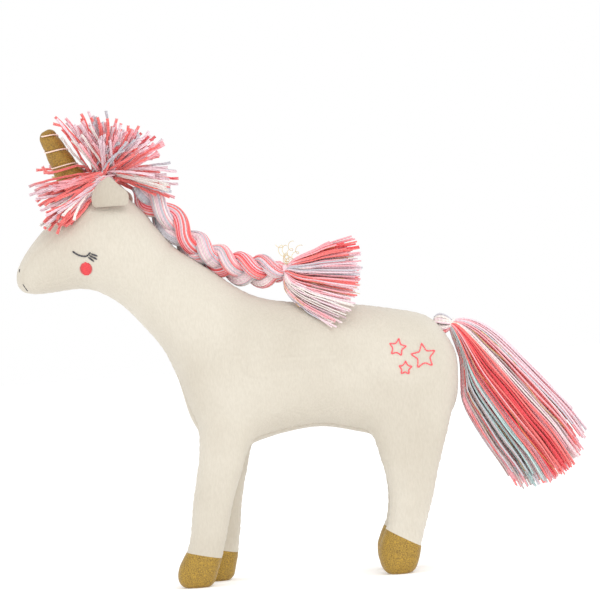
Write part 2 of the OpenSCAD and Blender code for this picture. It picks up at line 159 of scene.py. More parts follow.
# %% Woven surface: threads over and under, with thicker slubs here and there
def make_weave():
    group, scale, out = new_group("weave", ["Height", "Slubs"])
    coords = group.nodes.new("ShaderNodeTexCoord").outputs["Object"]
    split = group.nodes.new("ShaderNodeSeparateXYZ")
    group.links.new(coords, split.inputs[0])
    waves = [
        math_node(group, "SINE", math_node(group, "MULTIPLY", axis, scale))
        for axis in split.outputs
    ]
    pairs = [
        math_node(group, "MULTIPLY", waves[a], waves[b]) for a, b in ((0, 1), (1, 2), (0, 2))
    ]
    cloth = math_node(group, "ADD", math_node(group, "ADD", pairs[0], pairs[1]), pairs[2])
    slub_map = group.nodes.new("ShaderNodeMapping")
    slub_map.inputs["Scale"].default_value = (900, 900, 280)
    group.links.new(coords, slub_map.inputs["Vector"])
    slubs = noise_node(group, slub_map.outputs[0], 1.0, 2.0)
    height = math_node(group, "ADD", math_node(group, "MULTIPLY", cloth, 0.25), slubs)
    group.links.new(height, out.inputs["Height"])
    group.links.new(slubs, out.inputs["Slubs"])
    return group


# %% Mottling: a slow change of tone over a hand's width, and fine grain
def make_mottle():
    group, scale, out = new_group("mottle", ["Broad", "Grain"])
    coords = group.nodes.new("ShaderNodeTexCoord").outputs["Object"]
    group.links.new(noise_node(group, coords, 14.0, 2.0), out.inputs["Broad"])
    grain = group.nodes.new("ShaderNodeTexNoise")
    grain.inputs["Detail"].default_value = 1.0
    group.links.new(coords, grain.inputs["Vector"])
    group.links.new(scale, grain.inputs["Scale"])
    group.links.new(grain.outputs["Fac"], out.inputs["Grain"])
    return group


WEAVE = make_weave()
MOTTLE = make_mottle()
print("groups", WEAVE.name, MOTTLE.name)


# %% The parts that every finish has
def new_finish(name, roughness, sheen=0.0):
    material = bpy.data.materials.new(name)
    material.use_nodes = True
    tree = material.node_tree
    shader = tree.nodes["Principled BSDF"]
    shader.inputs["Roughness"].default_value = roughness
    shader.inputs["Sheen Weight"].default_value = sheen
    shader.inputs["Sheen Roughness"].default_value = 0.5
    return material, tree, shader


def use_group(tree, group, scale):
    node = tree.nodes.new("ShaderNodeGroup")
    node.node_tree = group
    node.inputs["Scale"].default_value = scale
    return node.outputs


def blend_colours(tree, factor, low, high):
    """A colour between two others, by a factor that runs from about 0.35 to 0.65."""
    ramp = tree.nodes.new("ShaderNodeValToRGB")
    ramp.color_ramp.elements[0].position = 0.35
    ramp.color_ramp.elements[1].position = 0.65
    ramp.color_ramp.elements[0].color = low
    ramp.color_ramp.elements[1].color = high
    tree.links.new(factor, ramp.inputs[0])
    return ramp.outputs["Color"]


def multiply_colours(tree, a, b):
    node = tree.nodes.new("ShaderNodeMix")
    node.data_type = "RGBA"
    node.blend_type = "MULTIPLY"
    node.inputs["Factor"].default_value = 1.0
    tree.links.new(a, node.inputs["A"])
    tree.links.new(b, node.inputs["B"])
    return node.outputs["Result"]


def bump(tree, shader, height, distance, strength):
    node = tree.nodes.new("ShaderNodeBump")
    node.inputs["Distance"].default_value = distance
    node.inputs["Strength"].default_value = strength
    tree.links.new(height, node.inputs["Height"])
    tree.links.new(node.outputs["Normal"], shader.inputs["Normal"])


def attribute(tree, name):
    node = tree.nodes.new("ShaderNodeAttribute")
    node.attribute_name = name
    return node


# %% Cotton: warm white, slubbed, with painted shade along the seams
WEAVE_PITCH = 0.0007
WEAVE_SCALE = 2 * math.pi / WEAVE_PITCH


def cotton(name, light, dark, seams=True):
    material, tree, shader = new_finish(name, 0.92, 0.25)
    weave = use_group(tree, WEAVE, WEAVE_SCALE)
    mottle = use_group(tree, MOTTLE, 420.0)
    colour = multiply_colours(
        tree,
        blend_colours(tree, mottle["Broad"], dark, light),
        blend_colours(tree, weave["Slubs"], (0.945, 0.94, 0.93, 1), (1, 1, 1, 1)),
    )
    # Painted shade: the colour is darkened where the seam attribute falls, in the grooves of the
    # seams.
    if seams:
        ramp = tree.nodes.new("ShaderNodeValToRGB")
        ramp.color_ramp.elements[0].color = (0.80, 0.76, 0.71, 1)
        ramp.color_ramp.elements[1].color = (1, 1, 1, 1)
        ramp.color_ramp.elements[1].position = 1.0
        tree.links.new(attribute(tree, "seam").outputs["Fac"], ramp.inputs[0])
        colour = multiply_colours(tree, colour, ramp.outputs["Color"])
    tree.links.new(colour, shader.inputs["Base Color"])
    bump(tree, shader, weave["Height"], 0.00025, 0.7)
    return material


BODY_COTTON = cotton("body_cotton", tone(214, 207, 193), tone(204, 196, 181))
# The ears' cotton is the body cotton made darker: painted shade on the ears.
SHADED_EAR_COTTON = cotton("ear_cotton_painted_shade", tone(200, 191, 176), tone(192, 182, 166), seams=False)


# %% Gold cloth: a mustard ground with fine bright and dark specks of metallic thread
def gold_cloth(name, light, dark):
    material, tree, shader = new_finish(name, 0.5)
    weave = use_group(tree, WEAVE, 2 * math.pi / 0.0011)
    grain = use_group(tree, MOTTLE, 1500.0)["Grain"]
    tree.links.new(blend_colours(tree, grain, dark, light), shader.inputs["Base Color"])
    shine = tree.nodes.new("ShaderNodeMapRange")
    shine.inputs["From Min"].default_value = 0.45
    shine.inputs["From Max"].default_value = 0.7
    shine.inputs["To Max"].default_value = 0.75
    tree.links.new(grain, shine.inputs["Value"])
    tree.links.new(shine.outputs[0], shader.inputs["Metallic"])
    height = math_node(tree, "ADD", weave["Height"], grain)
    bump(tree, shader, height, 0.0003, 0.8)
    return material


HOOF_GOLD = gold_cloth("hoof_gold", tone(190, 154, 66), tone(122, 92, 24))
HORN_GOLD = gold_cloth("horn_gold", tone(182, 142, 58), tone(116, 84, 20))


# %% Yarn and thread: colour from the strand, with a ridge that winds round it and painted shade in its groove
def spun(name, roughness, pitch, depth, sheen=0.3, metallic=0.0):
    material, tree, shader = new_finish(name, roughness, sheen)
    shader.inputs["Metallic"].default_value = metallic
    around = tree.nodes.new("ShaderNodeSeparateXYZ")
    tree.links.new(attribute(tree, "around").outputs["Vector"], around.inputs[0])
    turn = math_node(tree, "MULTIPLY", around.outputs[2], 2 * math.pi / pitch)
    ridge = math_node(
        tree,
        "ADD",
        math_node(tree, "MULTIPLY", around.outputs[0], math_node(tree, "COSINE", turn)),
        math_node(tree, "MULTIPLY", around.outputs[1], math_node(tree, "SINE", turn)),
    )
    shade = tree.nodes.new("ShaderNodeMapRange")
    shade.inputs["From Min"].default_value = -1
    shade.inputs["To Min"].default_value = 0.35
    shade.inputs["To Max"].default_value = 0.65
    tree.links.new(ridge, shade.inputs["Value"])
    # Painted shade: the groove of the twist is made darker than the ridge.
    groove = blend_colours(tree, shade.outputs[0], (0.90, 0.88, 0.88, 1), (1, 1, 1, 1))
    colour = multiply_colours(tree, attribute(tree, "tint").outputs["Color"], groove)
    tree.links.new(colour, shader.inputs["Base Color"])
    bump(tree, shader, ridge, depth, 0.6)
    return material


YARN = spun("wool_yarn", 0.8, 0.0030, 0.00012, 0.5)
GOLD_THREAD = spun("gold_thread", 0.35, 0.0012, 0.0001, 0.0, 0.8)


# %% Embroidery silk: one colour with a slight change of tone from stitch to stitch
def silk(name, light, dark):
    material, tree, shader = new_finish(name, 0.6, 0.2)
    grain = use_group(tree, MOTTLE, 900.0)["Grain"]
    tree.links.new(blend_colours(tree, grain, dark, light), shader.inputs["Base Color"])
    bump(tree, shader, grain, 0.0002, 0.5)
    return material


FACE_SILK = silk("face_silk", tone(66, 66, 74), tone(36, 36, 42))
STAR_SILK = silk("star_silk", tone(250, 112, 116), tone(232, 84, 92))
CHEEK_SILK = silk("cheek_silk", tone(230, 74, 78), tone(214, 62, 68))
print("finishes", len(bpy.data.materials))

# %% [markdown]
# ## The floor
#
# A plain pale floor gives the toy something to stand on. It glows slightly, as a white paper
# sweep under strong light does, so that it stays white in the picture.


# %% Floor
def make_floor():
    bm = bmesh.new()
    bmesh.ops.create_grid(bm, x_segments=1, y_segments=1, size=8.0)
    mesh = bpy.data.meshes.new("floor")
    bm.to_mesh(mesh)
    floor = bpy.data.objects.new("floor", mesh)
    bpy.context.scene.collection.objects.link(floor)
    material, tree, shader = new_finish("white_paper", 0.9)
    shader.inputs["Base Color"].default_value = (0.9, 0.9, 0.9, 1)
    shader.inputs["Emission Color"].default_value = (1, 1, 1, 1)
    shader.inputs["Emission Strength"].default_value = 0.25
    mesh.materials.append(material)


make_floor()

# %% [markdown]
# ## The blank: one solid for the whole animal
#
# A pattern cutter draws the side of the animal and then chooses how far each part stands out.
# The same idea works here: a section is a squashed ring between a point on the back and a
# point on the belly, with a half width. Rings are circles made by an operator, moved onto
# their section, and bridged to the next. The legs and hooves are copied from the frame.

# %% Sections of the trunk and the head: back x, back z, belly x, belly z, half width
TRUNK = [
    [-94, 260, -129, 211, 31],
    [-80, 249, -106, 184, 34.5],
    [-66, 239, -93, 153, 36.5],
    [-52, 228, -85, 121, 38],
    [-37, 218, -60, 102, 39],
    [-18, 211.5, -24, 109.5, 39.5],
    [12, 207.5, 12, 114, 39.5],
    [42, 204.5, 42, 107, 40],
    [72, 199, 72, 104, 41],
    [98, 191.5, 100, 108, 38],
    [112, 174, 113.5, 122, 28],
    [117.5, 160, 117.5, 138, 13],
    [117, 152, 117, 148, 2],
]
SKULL = [
    [-212, 242, -212, 238, 4],
    [-210.5, 248, -209.5, 232.5, 12],
    [-203.5, 260, -200.5, 228.7, 18],
    [-189, 276.5, -185, 229.2, 23],
    [-170, 291, -165, 230.8, 27.5],
    [-151, 301.5, -149, 227, 30],
    [-131, 302, -135, 217, 31],
    [-114, 287, -122, 211.8, 30.5],
    [-101, 270, -108, 217.6, 28],
    [-94.5, 260, -97, 229.5, 20],
    [-91.4, 250, -91.6, 242.5, 6],
]


def refined(rows):
    """A row between each two, on a smooth curve through them all."""
    rows = np.array(rows, float)
    out = []
    for i in range(len(rows) - 1):
        before, after = rows[max(i - 1, 0)], rows[min(i + 2, len(rows) - 1)]
        out += [rows[i], (9 * (rows[i] + rows[i + 1]) - before - after) / 16]
    return np.array(out + [rows[-1]])


def section_ring(row, sides=32, roundness=2.3):
    back_x, back_z, belly_x, belly_z, half = row
    turn = np.linspace(0, 2 * np.pi, sides, endpoint=False)
    along = np.sign(np.cos(turn)) * np.abs(np.cos(turn)) ** (2 / roundness)
    out = np.sign(np.sin(turn)) * np.abs(np.sin(turn)) ** (2 / roundness)
    x = (back_x + belly_x) / 2 + (back_x - belly_x) / 2 * along
    z = (back_z + belly_z) / 2 + (back_z - belly_z) / 2 * along
    return np.stack([x, -half * out, z], 1) * MM


# %% Lofting with circles and bridges
def add_loft(bm, rings):
    loops, verts = [], []
    for ring in rings:
        made = bmesh.ops.create_circle(bm, segments=len(ring), radius=0.001)["verts"]
        for vert, place in zip(made, ring):
            vert.co = place
        loops.append(list({e for v in made for e in v.link_edges}))
        verts += made
    for first, second in zip(loops, loops[1:]):
        bmesh.ops.bridge_loops(bm, edges=first + second)
    for loop in (loops[0], loops[-1]):
        bmesh.ops.edgeloop_fill(bm, edges=loop)
    faces = list({f for v in verts for f in v.link_faces})
    bmesh.ops.recalc_face_normals(bm, faces=faces)


def finish_mesh(bm, name, material=None):
    mesh = bpy.data.meshes.new(name)
    bm.to_mesh(mesh)
    bm.free()
    for polygon in mesh.polygons:
        polygon.use_smooth = True
    if material:
        mesh.materials.append(material)
    obj = bpy.data.objects.new(name, mesh)
    bpy.context.scene.collection.objects.link(obj)
    return obj


# %% The blank, with the legs and hooves copied from the frame
LEGS = ["front_left", "front_right", "hind_left", "hind_right"]


def add_node(bm, node):
    part = bmesh.new()
    part.from_mesh(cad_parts[node].data)
    bmesh.ops.remove_doubles(part, verts=part.verts, dist=1e-6)
    copy = bpy.data.meshes.new("copy")
    part.to_mesh(copy)
    part.free()
    bm.from_mesh(copy)
    bpy.data.meshes.remove(copy)


def make_blank():
    bm = bmesh.new()
    for rows in (TRUNK, SKULL):
        add_loft(bm, [section_ring(row) for row in refined(refined(rows))])
    for leg in LEGS:
        for part in ("leg_outer", "leg_inner", "leg_stuffing", "hoof"):
            add_node(bm, f"{leg}_{part}")
    return finish_mesh(bm, "blank")


blank = make_blank()
print("blank", len(blank.data.polygons), "faces")

# %% [markdown]
# ## One skin round the blank
#
# Voxel remeshing wraps everything in a single even net, so that a leg and the body become one
# piece of cloth. Where a leg meets the body, and where the head meets the neck, the step
# between the solids is rubbed out with a smoothing operator.

# %% Remesh and rub out the steps
VOXEL = 3.5 * MM
HIP_BAND = (88 * MM, 152 * MM)
NECK_BAND = (-145 * MM, -80 * MM)
NECK_HEIGHTS = (200 * MM, 280 * MM)
SMOOTH_ALL, SMOOTH_HIPS, SMOOTH_NECK = 3, 14, 16
SKIN_GROWTH = 0.5 * MM


def evaluated(obj):
    bpy.context.view_layer.update()
    graph = bpy.context.evaluated_depsgraph_get()
    return bpy.data.meshes.new_from_object(obj.evaluated_get(graph))


def take_over(obj):
    """Keeps what the modifiers make and drops them."""
    mesh = evaluated(obj)
    obj.modifiers.clear()
    obj.data = mesh
    return obj


def make_skin(obj):
    remesh = obj.modifiers.new("net", "REMESH")
    remesh.mode = "VOXEL"
    remesh.voxel_size = VOXEL
    take_over(obj)
    bm = bmesh.new()
    bm.from_mesh(obj.data)
    hips = [v for v in bm.verts if HIP_BAND[0] < v.co.z < HIP_BAND[1]]
    neck = [
        v for v in bm.verts
        if NECK_BAND[0] < v.co.x < NECK_BAND[1] and NECK_HEIGHTS[0] < v.co.z < NECK_HEIGHTS[1]
    ]
    for verts, times in ((bm.verts[:], SMOOTH_ALL), (hips, SMOOTH_HIPS), (neck, SMOOTH_NECK)):
        for _ in range(times):
            bmesh.ops.smooth_vert(
                bm, verts=verts, factor=0.5, use_axis_x=True, use_axis_y=True, use_axis_z=True
            )
    bm.normal_update()
    for vert in bm.verts:
        vert.co += vert.normal * SKIN_GROWTH
        vert.co.z = max(vert.co.z, 0.0)
    bm.to_mesh(obj.data)
    bm.free()
    return obj


skin = make_skin(blank)
skin.name = "skin"
print("skin", len(skin.data.vertices), "points")

# %% [markdown]
# ## Seams
#
# A seam holds the cloth in while the stuffing pushes it out, so the seams have to be known
# before the simulation. Each is a line of points close to the skin, moved onto it: along the
# back, round the belly piece, down both edges of each leg, and round the face piece. The face
# piece is sewn with finer stitches, so its seam is given less strength.

# %% Seam lines on the left side, in millimetres; those off the middle are mirrored
MIDDLE_SEAMS = [
    [(-131, 303), (-114, 288), (-94, 262), (-80, 249), (-66, 239), (-52, 228), (-37, 218.5),
     (-18, 212), (12, 208), (42, 205), (72, 199), (97, 191.5), (110, 174), (115, 158), (113, 135)],
    [(-204, 229), (-185, 229), (-165, 231), (-149, 227), (-135, 217), (-129, 209), (-117, 196),
     (-106, 184)],
]
FACE_SEAM = [(-131, 303), (-152, 293), (-169, 276), (-177.5, 271.5), (-185, 265.5), (-194, 259.5),
             (-202.5, 251), (-205.5, 245.5), (-206, 239.5), (-205.4, 234)]
FACE_STRENGTH = 0.25
MIDDLE_STRENGTHS = (0.7, 0.6)
SIDE_STRENGTH = 1.0
SIDE_SEAMS = [
    [(-106, 0, 184), (-98, -10, 160), (-90, -18, 130), (-84, -22, 108), (-86.5, -22.5, 76),
     (-90, -23, 57), (-92, -23.5, 40), (-96, -24, 28)],
    [(-70, -24, 22), (-65, -23.5, 38), (-60.5, -23, 56), (-54.5, -22.5, 75), (-46.5, -22, 94),
     (-42, -19, 104), (-20, -15, 112), (12, -15, 116), (38, -15, 110), (50, -20, 101),
     (56.5, -22.5, 80), (59.3, -23, 62), (58, -23.5, 45), (55, -24, 35)],
    [(80, -24, 21), (85.5, -23.5, 37), (93, -23, 60), (98, -22.5, 80), (106, -22, 100),
     (111, -14, 118), (113, 0, 135)],
]


def skin_tree(obj):
    return BVHTree.FromObject(obj, bpy.context.evaluated_depsgraph_get())


def dense(points, step=1.0 * MM):
    """The same line with a point at every step."""
    points = np.array(points, float)
    lengths = np.linalg.norm(np.diff(points, axis=0), axis=1)
    reach = np.concatenate([[0], np.cumsum(lengths)])
    count = max(int(reach[-1] / step), 2)
    where = np.linspace(0, reach[-1], count)
    return np.stack([np.interp(where, reach, points[:, k]) for k in range(3)], 1)


def on_side(tree, x, z, side):
    """The point of the skin that is seen at x, z from the left (-1) or right (1)."""
    hit = tree.ray_cast(Vector((x, side * 0.2, z)), Vector((0, -side, 0)))
    return hit[0], hit[1]


def lay_seams(tree):
    lines = []
    for line, strength in zip(MIDDLE_SEAMS, MIDDLE_STRENGTHS):
        lines.append(([(x * MM, 0, z * MM) for x, z in line], strength))
    for side in (-1, 1):
        seen = []
        for x, z in FACE_SEAM:
            place, _ = on_side(tree, x * MM, z * MM, side)
            seen.append(tuple(place) if place else (x * MM, 0, z * MM))
        lines.append((seen, FACE_STRENGTH))
        for line in SIDE_SEAMS:
            lines.append(([(x * MM, -side * y * MM, z * MM) for x, y, z in line],
                          SIDE_STRENGTH))
    return [([tree.find_nearest(Vector(p))[0] for p in dense(line)], strength)
            for line, strength in lines]


seams = lay_seams(skin_tree(skin))
print("seams", len(seams), "with", sum(len(line) for line, _ in seams), "points")


# %% How far each point of a mesh is from the nearest seam
def seam_distances(mesh):
    places = [(place, strength) for line, strength in seams for place in line]
    tree = KDTree(len(places))
    for number, (place, _) in enumerate(places):
        tree.insert(place, number)
    tree.balance()
    found = [tree.find(v.co) for v in mesh.vertices]
    number = np.array([f[1] for f in found])
    return np.array([f[2] for f in found]), number, np.array([s for _, s in places])[number]


# %% [markdown]
# ## Stuffing
#
# Stuffing presses outwards everywhere, and the cloth gives way between the seams. Blender's
# cloth does the same: pressure inside, seams pinned, no gravity. No point may move further
# than the cap, and the soles stay flat. One subdivision then makes the net fine enough for
# grooves and puckers, and for one shallow crease where the throat meets the neck.

# %% Swell the skin with a cloth simulation
SWELL_CAP = 2.6 * MM
SWELL_FRAMES = 16
PIN_WIDTH = 3 * MM
SOLE_BAND = 4 * MM


def bell(distance, width):
    """One at no distance, and fading to nothing over about twice the width."""
    return np.exp(-((distance / width) ** 2))


def coordinates(mesh):
    places = np.zeros(len(mesh.vertices) * 3)
    mesh.vertices.foreach_get("co", places)
    return places.reshape(-1, 3)


def swell(obj):
    start = coordinates(obj.data)
    away, _, strength = seam_distances(obj.data)
    pins = obj.vertex_groups.new(name="pins")
    hold = strength * bell(away, PIN_WIDTH)
    hold[start[:, 2] < SOLE_BAND] = 1.0
    for number, weight in enumerate(hold):
        pins.add([number], float(weight), "REPLACE")
    cloth = obj.modifiers.new("stuffing", "CLOTH")
    settings = cloth.settings
    settings.quality = 4
    settings.mass = 0.3
    settings.tension_stiffness = 12
    settings.compression_stiffness = 12
    settings.shear_stiffness = 5
    settings.bending_stiffness = 0.6
    settings.use_pressure = True
    settings.uniform_pressure_force = 4
    settings.vertex_group_mass = "pins"
    settings.effector_weights.gravity = 0
    cloth.point_cache.frame_start = 1
    cloth.point_cache.frame_end = SWELL_FRAMES
    for number in range(1, SWELL_FRAMES + 1):
        bpy.context.scene.frame_set(number)
    moved = coordinates(evaluated(obj)) - start
    bpy.context.scene.frame_set(1)
    obj.modifiers.clear()
    length = np.linalg.norm(moved, axis=1)
    share = np.minimum(1.0, SWELL_CAP / np.maximum(length, 1e-9))
    places = start + moved * share[:, None]
    places[:, 2] = np.maximum(places[:, 2], 0.0)
    obj.data.vertices.foreach_set("co", places.ravel())
    obj.data.update()
    return length


travel = swell(skin)
print("stuffing moved the cloth by up to", round(float(travel.max()) / MM, 1), "mm, capped")
skin.vertex_groups.clear()

# %% Subdivide, press the seams in and pucker the cloth beside them
SEAM_DEPTH = 0.9 * MM
SEAM_WIDTH = 1.7 * MM
PUCKER_DEPTH = 0.22 * MM
PUCKER_WIDTH = 6 * MM
SHADE_WIDTH = 1.3 * MM
FLAT_SOLE = 1 * MM
THROAT_CREASE = [(-96, 0, 256), (-105, 0, 245), (-114, 0, 235), (-124, 0, 225)]
CREASE_DEPTH = 1.1 * MM
CREASE_WIDTH = 5 * MM
CREASE_OFF_SEAM = 4 * MM


def press_seams(obj):
    finer = obj.modifiers.new("finer", "SUBSURF")
    finer.levels = finer.render_levels = 1
    take_over(obj)
    away, number, strength = seam_distances(obj.data)
    places = coordinates(obj.data)
    normals = np.array([v.normal for v in obj.data.vertices])
    groove = SEAM_DEPTH * bell(away, SEAM_WIDTH)
    rand = random.Random(11)
    wave = np.cumsum([rand.uniform(0.5, 1.5) for _ in range(number.max() + 1)])
    pucker = PUCKER_DEPTH * np.sin(wave[number] * 0.95) * bell(away, PUCKER_WIDTH)
    side_view = places[:, [0, 2]]
    crease = dense(np.array(THROAT_CREASE) * MM)[:, [0, 2]]
    nearest = np.min([np.hypot(*(side_view - point).T) for point in crease], axis=0)
    fold = CREASE_DEPTH * bell(nearest, CREASE_WIDTH) * (away > CREASE_OFF_SEAM)
    depth = (groove + pucker) * strength + fold
    depth[places[:, 2] < FLAT_SOLE] = 0
    places -= normals * depth[:, None]
    places[:, 2] = np.maximum(places[:, 2], 0.0)
    obj.data.vertices.foreach_set("co", places.ravel())
    # The seam attribute is painted shade: darkest in each seam's groove, and weaker where the seam is
    # weaker.
    seam = obj.data.attributes.new("seam", "FLOAT", "POINT")
    shade = 1 - 0.8 * strength * bell(away, SHADE_WIDTH)
    seam.data.foreach_set("value", shade.astype(np.float32))
    obj.data.update()
    return obj


press_seams(skin)
surface = skin_tree(skin)
print("skin", len(skin.data.polygons), "faces after the seams")

# %% [markdown]
# ## Cutting the skin where the toy moves
#
# The head nods and each leg swings a little, so the skin is cut into pieces at the neck and at the
# top of each leg. The cut shows no line, because every point keeps the normal that it had on the
# whole skin. The hooves are cut off at the ankle and become gold cloth.

# %% Where the skin is cut
LEG_CUT = 101 * MM
ANKLE_TOP = 60 * MM
NECK_START = Vector((-88, 0, 219)) * MM
NECK_END = Vector((-117, 0, 240)) * MM
ANKLES = {
    "front_left": ((-96, 27), (-70, 21)),
    "front_right": ((-85.4, 27), (-58.7, 21)),
    "hind_left": ((55, 34), (80, 20)),
    "hind_right": ((55, 34), (80, 20)),
}


def leg_of(place):
    front = "front" if place.x < 0 else "hind"
    return front + ("_left" if place.y < 0 else "_right")


def above_ankle(place):
    (x1, z1), (x2, z2) = ANKLES[leg_of(place)]
    share = (place.x / MM - x1) / (x2 - x1)
    return place.z / MM - (z1 + (z2 - z1) * share)


def region(place):
    if (place - NECK_START).dot(NECK_END - NECK_START) > 0 and place.z > LEG_CUT:
        return "head_skin"
    if place.z > LEG_CUT:
        return "torso_skin"
    return leg_of(place) + ("_leg_skin" if above_ankle(place) > 0 else "_hoof_skin")


# %% Cut, sort the faces and keep the normals
def split_skin(obj):
    bm = bmesh.new()
    bm.from_mesh(obj.data)
    kept = bm.verts.layers.float_vector.new("kept_normal")
    bm.normal_update()
    for vert in bm.verts:
        vert[kept] = vert.normal
    cuts = [(Vector((0, 0, LEG_CUT)), Vector((0, 0, 1)), lambda f: True),
            (NECK_START, NECK_END - NECK_START, lambda f: f.calc_center_median().z > LEG_CUT)]
    for leg, ((x1, z1), (x2, z2)) in ANKLES.items():
        across = Vector((x2 - x1, 0, z2 - z1))
        cuts.append((Vector((x1, 0, z1)) * MM, Vector((-across.z, 0, across.x)),
                     lambda f, leg=leg: f.calc_center_median().z < ANKLE_TOP
                     and leg_of(f.calc_center_median()) == leg))
    for point, normal, wanted in cuts:
        faces = [f for f in bm.faces if wanted(f)]
        edges = {e for f in faces for e in f.edges}
        verts = {v for f in faces for v in f.verts}
        bmesh.ops.bisect_plane(bm, geom=[*verts, *edges, *faces], dist=1e-7,
                               plane_co=point, plane_no=normal.normalized())
    bm.faces.index_update()
    names = [region(f.calc_center_median()) for f in bm.faces]
    pieces = {}
    for name in sorted(set(names)):
        part = bm.copy()
        part.faces.ensure_lookup_table()
        extra = [part.faces[i] for i, n in enumerate(names) if n != name]
        bmesh.ops.delete(part, geom=extra, context="FACES")
        layer = part.verts.layers.float_vector["kept_normal"]
        normals = [vert[layer].normalized() for vert in part.verts]
        part.verts.layers.float_vector.remove(layer)
        material = HOOF_GOLD if "hoof" in name else BODY_COTTON
        pieces[name] = finish_mesh(part, name, material)
        pieces[name].data.normals_split_custom_set_from_vertices(normals)
    bm.free()
    bpy.data.objects.remove(obj)
    return pieces


skins = split_skin(skin)
print({name: len(obj.data.polygons) for name, obj in skins.items()})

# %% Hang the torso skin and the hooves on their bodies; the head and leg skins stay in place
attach(skins["torso_skin"], "torso")
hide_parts("torso_stuffing", "side_panel_left", "side_panel_right",
            "belly_gusset")
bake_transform(skins["head_skin"])
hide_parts("head_stuffing", "head_panel_left", "head_panel_right",
            "head_gusset")
for leg in LEGS:
    leg_skin, hoof_skin = skins[leg + "_leg_skin"], skins[leg + "_hoof_skin"]
    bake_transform(leg_skin)
    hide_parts(leg + "_leg_outer", leg + "_leg_inner", leg + "_leg_stuffing")
    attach(hoof_skin, leg + "_leg")
    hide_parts(leg + "_hoof")

# %% [markdown]
# ## Embroidery
#
# The closed eyes, the nose, the mouth, the cheeks and the stars are sewn with thread. Each
# stitch is a long bead of thread laid on the skin between two points, so the lines show their
# stitches up close. A cheek is filled with rows of satin stitch.


# %% Stitches
def add_stitch(bm, tree, start, end, side, thick):
    """One stitch between two [x, z] points on a side of the skin."""
    ends = [on_side(tree, x * MM, z * MM, side) for x, z in (start, end)]
    if ends[0][0] is None or ends[1][0] is None:
        return
    normal = (ends[0][1] + ends[1][1]).normalized()
    middle = (ends[0][0] + ends[1][0]) / 2 + normal * thick * 0.2
    along = ends[1][0] - ends[0][0]
    turn = along.to_track_quat("X", "Z").to_matrix().to_4x4()
    size = Matrix.Diagonal((along.length / 2 + thick * 0.35, thick / 2, thick / 2, 1))
    bmesh.ops.create_uvsphere(bm, u_segments=8, v_segments=6, radius=1,
                              matrix=Matrix.Translation(middle) @ turn @ size)


def sew(name, lines, side, thick, stitch, material, body, nodes):
    """Lines of [x, z] points sewn with stitches of a given length; thick and stitch in mm."""
    bm = bmesh.new()
    for line in lines:
        points = dense([(x * MM, 0, z * MM) for x, z in line], stitch * MM)
        points = [(p[0] / MM, p[2] / MM) for p in points]
        for start, end in zip(points, points[1:]):
            add_stitch(bm, surface, start, end, side, thick * MM)
    obj = finish_mesh(bm, name, material)
    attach(obj, body)
    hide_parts(*nodes)


EYE = [
    [(-166, 258.7), (-163.5, 256.5), (-160, 254.8), (-156.5, 254.3), (-155, 254.8), (-153, 257)],
    [(-154.6, 253.6), (-150.8, 250.2)],
    [(-153.4, 254.6), (-148.4, 251.7)],
    [(-152.4, 256), (-147.9, 254)],
]
NOSTRIL = [[(-208.2, 248.4), (-208.4, 246.2)]]
MOUTH = [[(-206.4, 237), (-205, 234.2), (-203.4, 231.4)]]


def satin_disc(x, z, radius, gap=0.75):
    rows = np.arange(-radius + gap / 2, radius, gap)
    halves = [math.sqrt(radius**2 - r**2) for r in rows]
    return [[(x - half, z + r + 0.1), (x + half, z + r)] for r, half in zip(rows, halves)]


STAR_WAIST = 0.46


def star(x, z, radius, turn):
    points = []
    for i in range(11):
        reach = radius if i % 2 == 0 else radius * STAR_WAIST
        angle = math.radians(36 * i + turn)
        points.append((x + reach * math.sin(angle), z + reach * math.cos(angle)))
    return points


STARS = [star(72.3, 169.8, 7.0, 13), star(91.3, 162, 9.9, -4), star(77, 154, 5.5, 6)]
for side, name in ((-1, "left"), (1, "right")):
    sew("eye_stitches_" + name, EYE, side, 1.35, 1.9, FACE_SILK, "head",
        ["eye_" + name])
    sew("cheek_stitches_" + name, satin_disc(-157.2, 245, 4.7), side, 1.1, 3.4, CHEEK_SILK,
        "head", ["cheek_" + name])
    sew("star_stitches_" + name, STARS, side, 1.15, 2.1, STAR_SILK, "torso",
        ["stars_" + name])
    sew("nostril_" + name, NOSTRIL, side, 0.9, 1.8, FACE_SILK, "head",
        ["nostril_stitches"])
    sew("mouth_" + name, MOUTH, side, 0.8, 1.8, FACE_SILK, "head",
        ["mouth_stitches"])
print("embroidery done")

# %% [markdown]
# ## Ears
#
# An ear is a leaf of two layers of cotton, turned right side out and sewn down along its lower
# edge. A grid is bent into the leaf, so that its middle stands out from the head and its edges
# lie back, and a Solidify modifier gives the layer its thickness.

# %% Ears
EAR_FOOT = (-135.2, 290.5)
EAR_LEFT_EDGE = [(0, -11), (0.04, -13), (0.12, -14.1), (0.33, -14.4), (0.49, -13.5), (0.69, -11),
                 (0.82, -8.4), (0.9, -6), (0.97, -3.2), (1, -1)]
EAR_RIGHT_EDGE = [(0, 11), (0.04, 12.8), (0.12, 13.7), (0.33, 14.3), (0.49, 13), (0.65, 8.8),
                  (0.8, 5.6), (0.9, 3.6), (0.97, 2), (1, 0.8)]
EAR_HEIGHT = 22.5
EAR_Y = 27.6


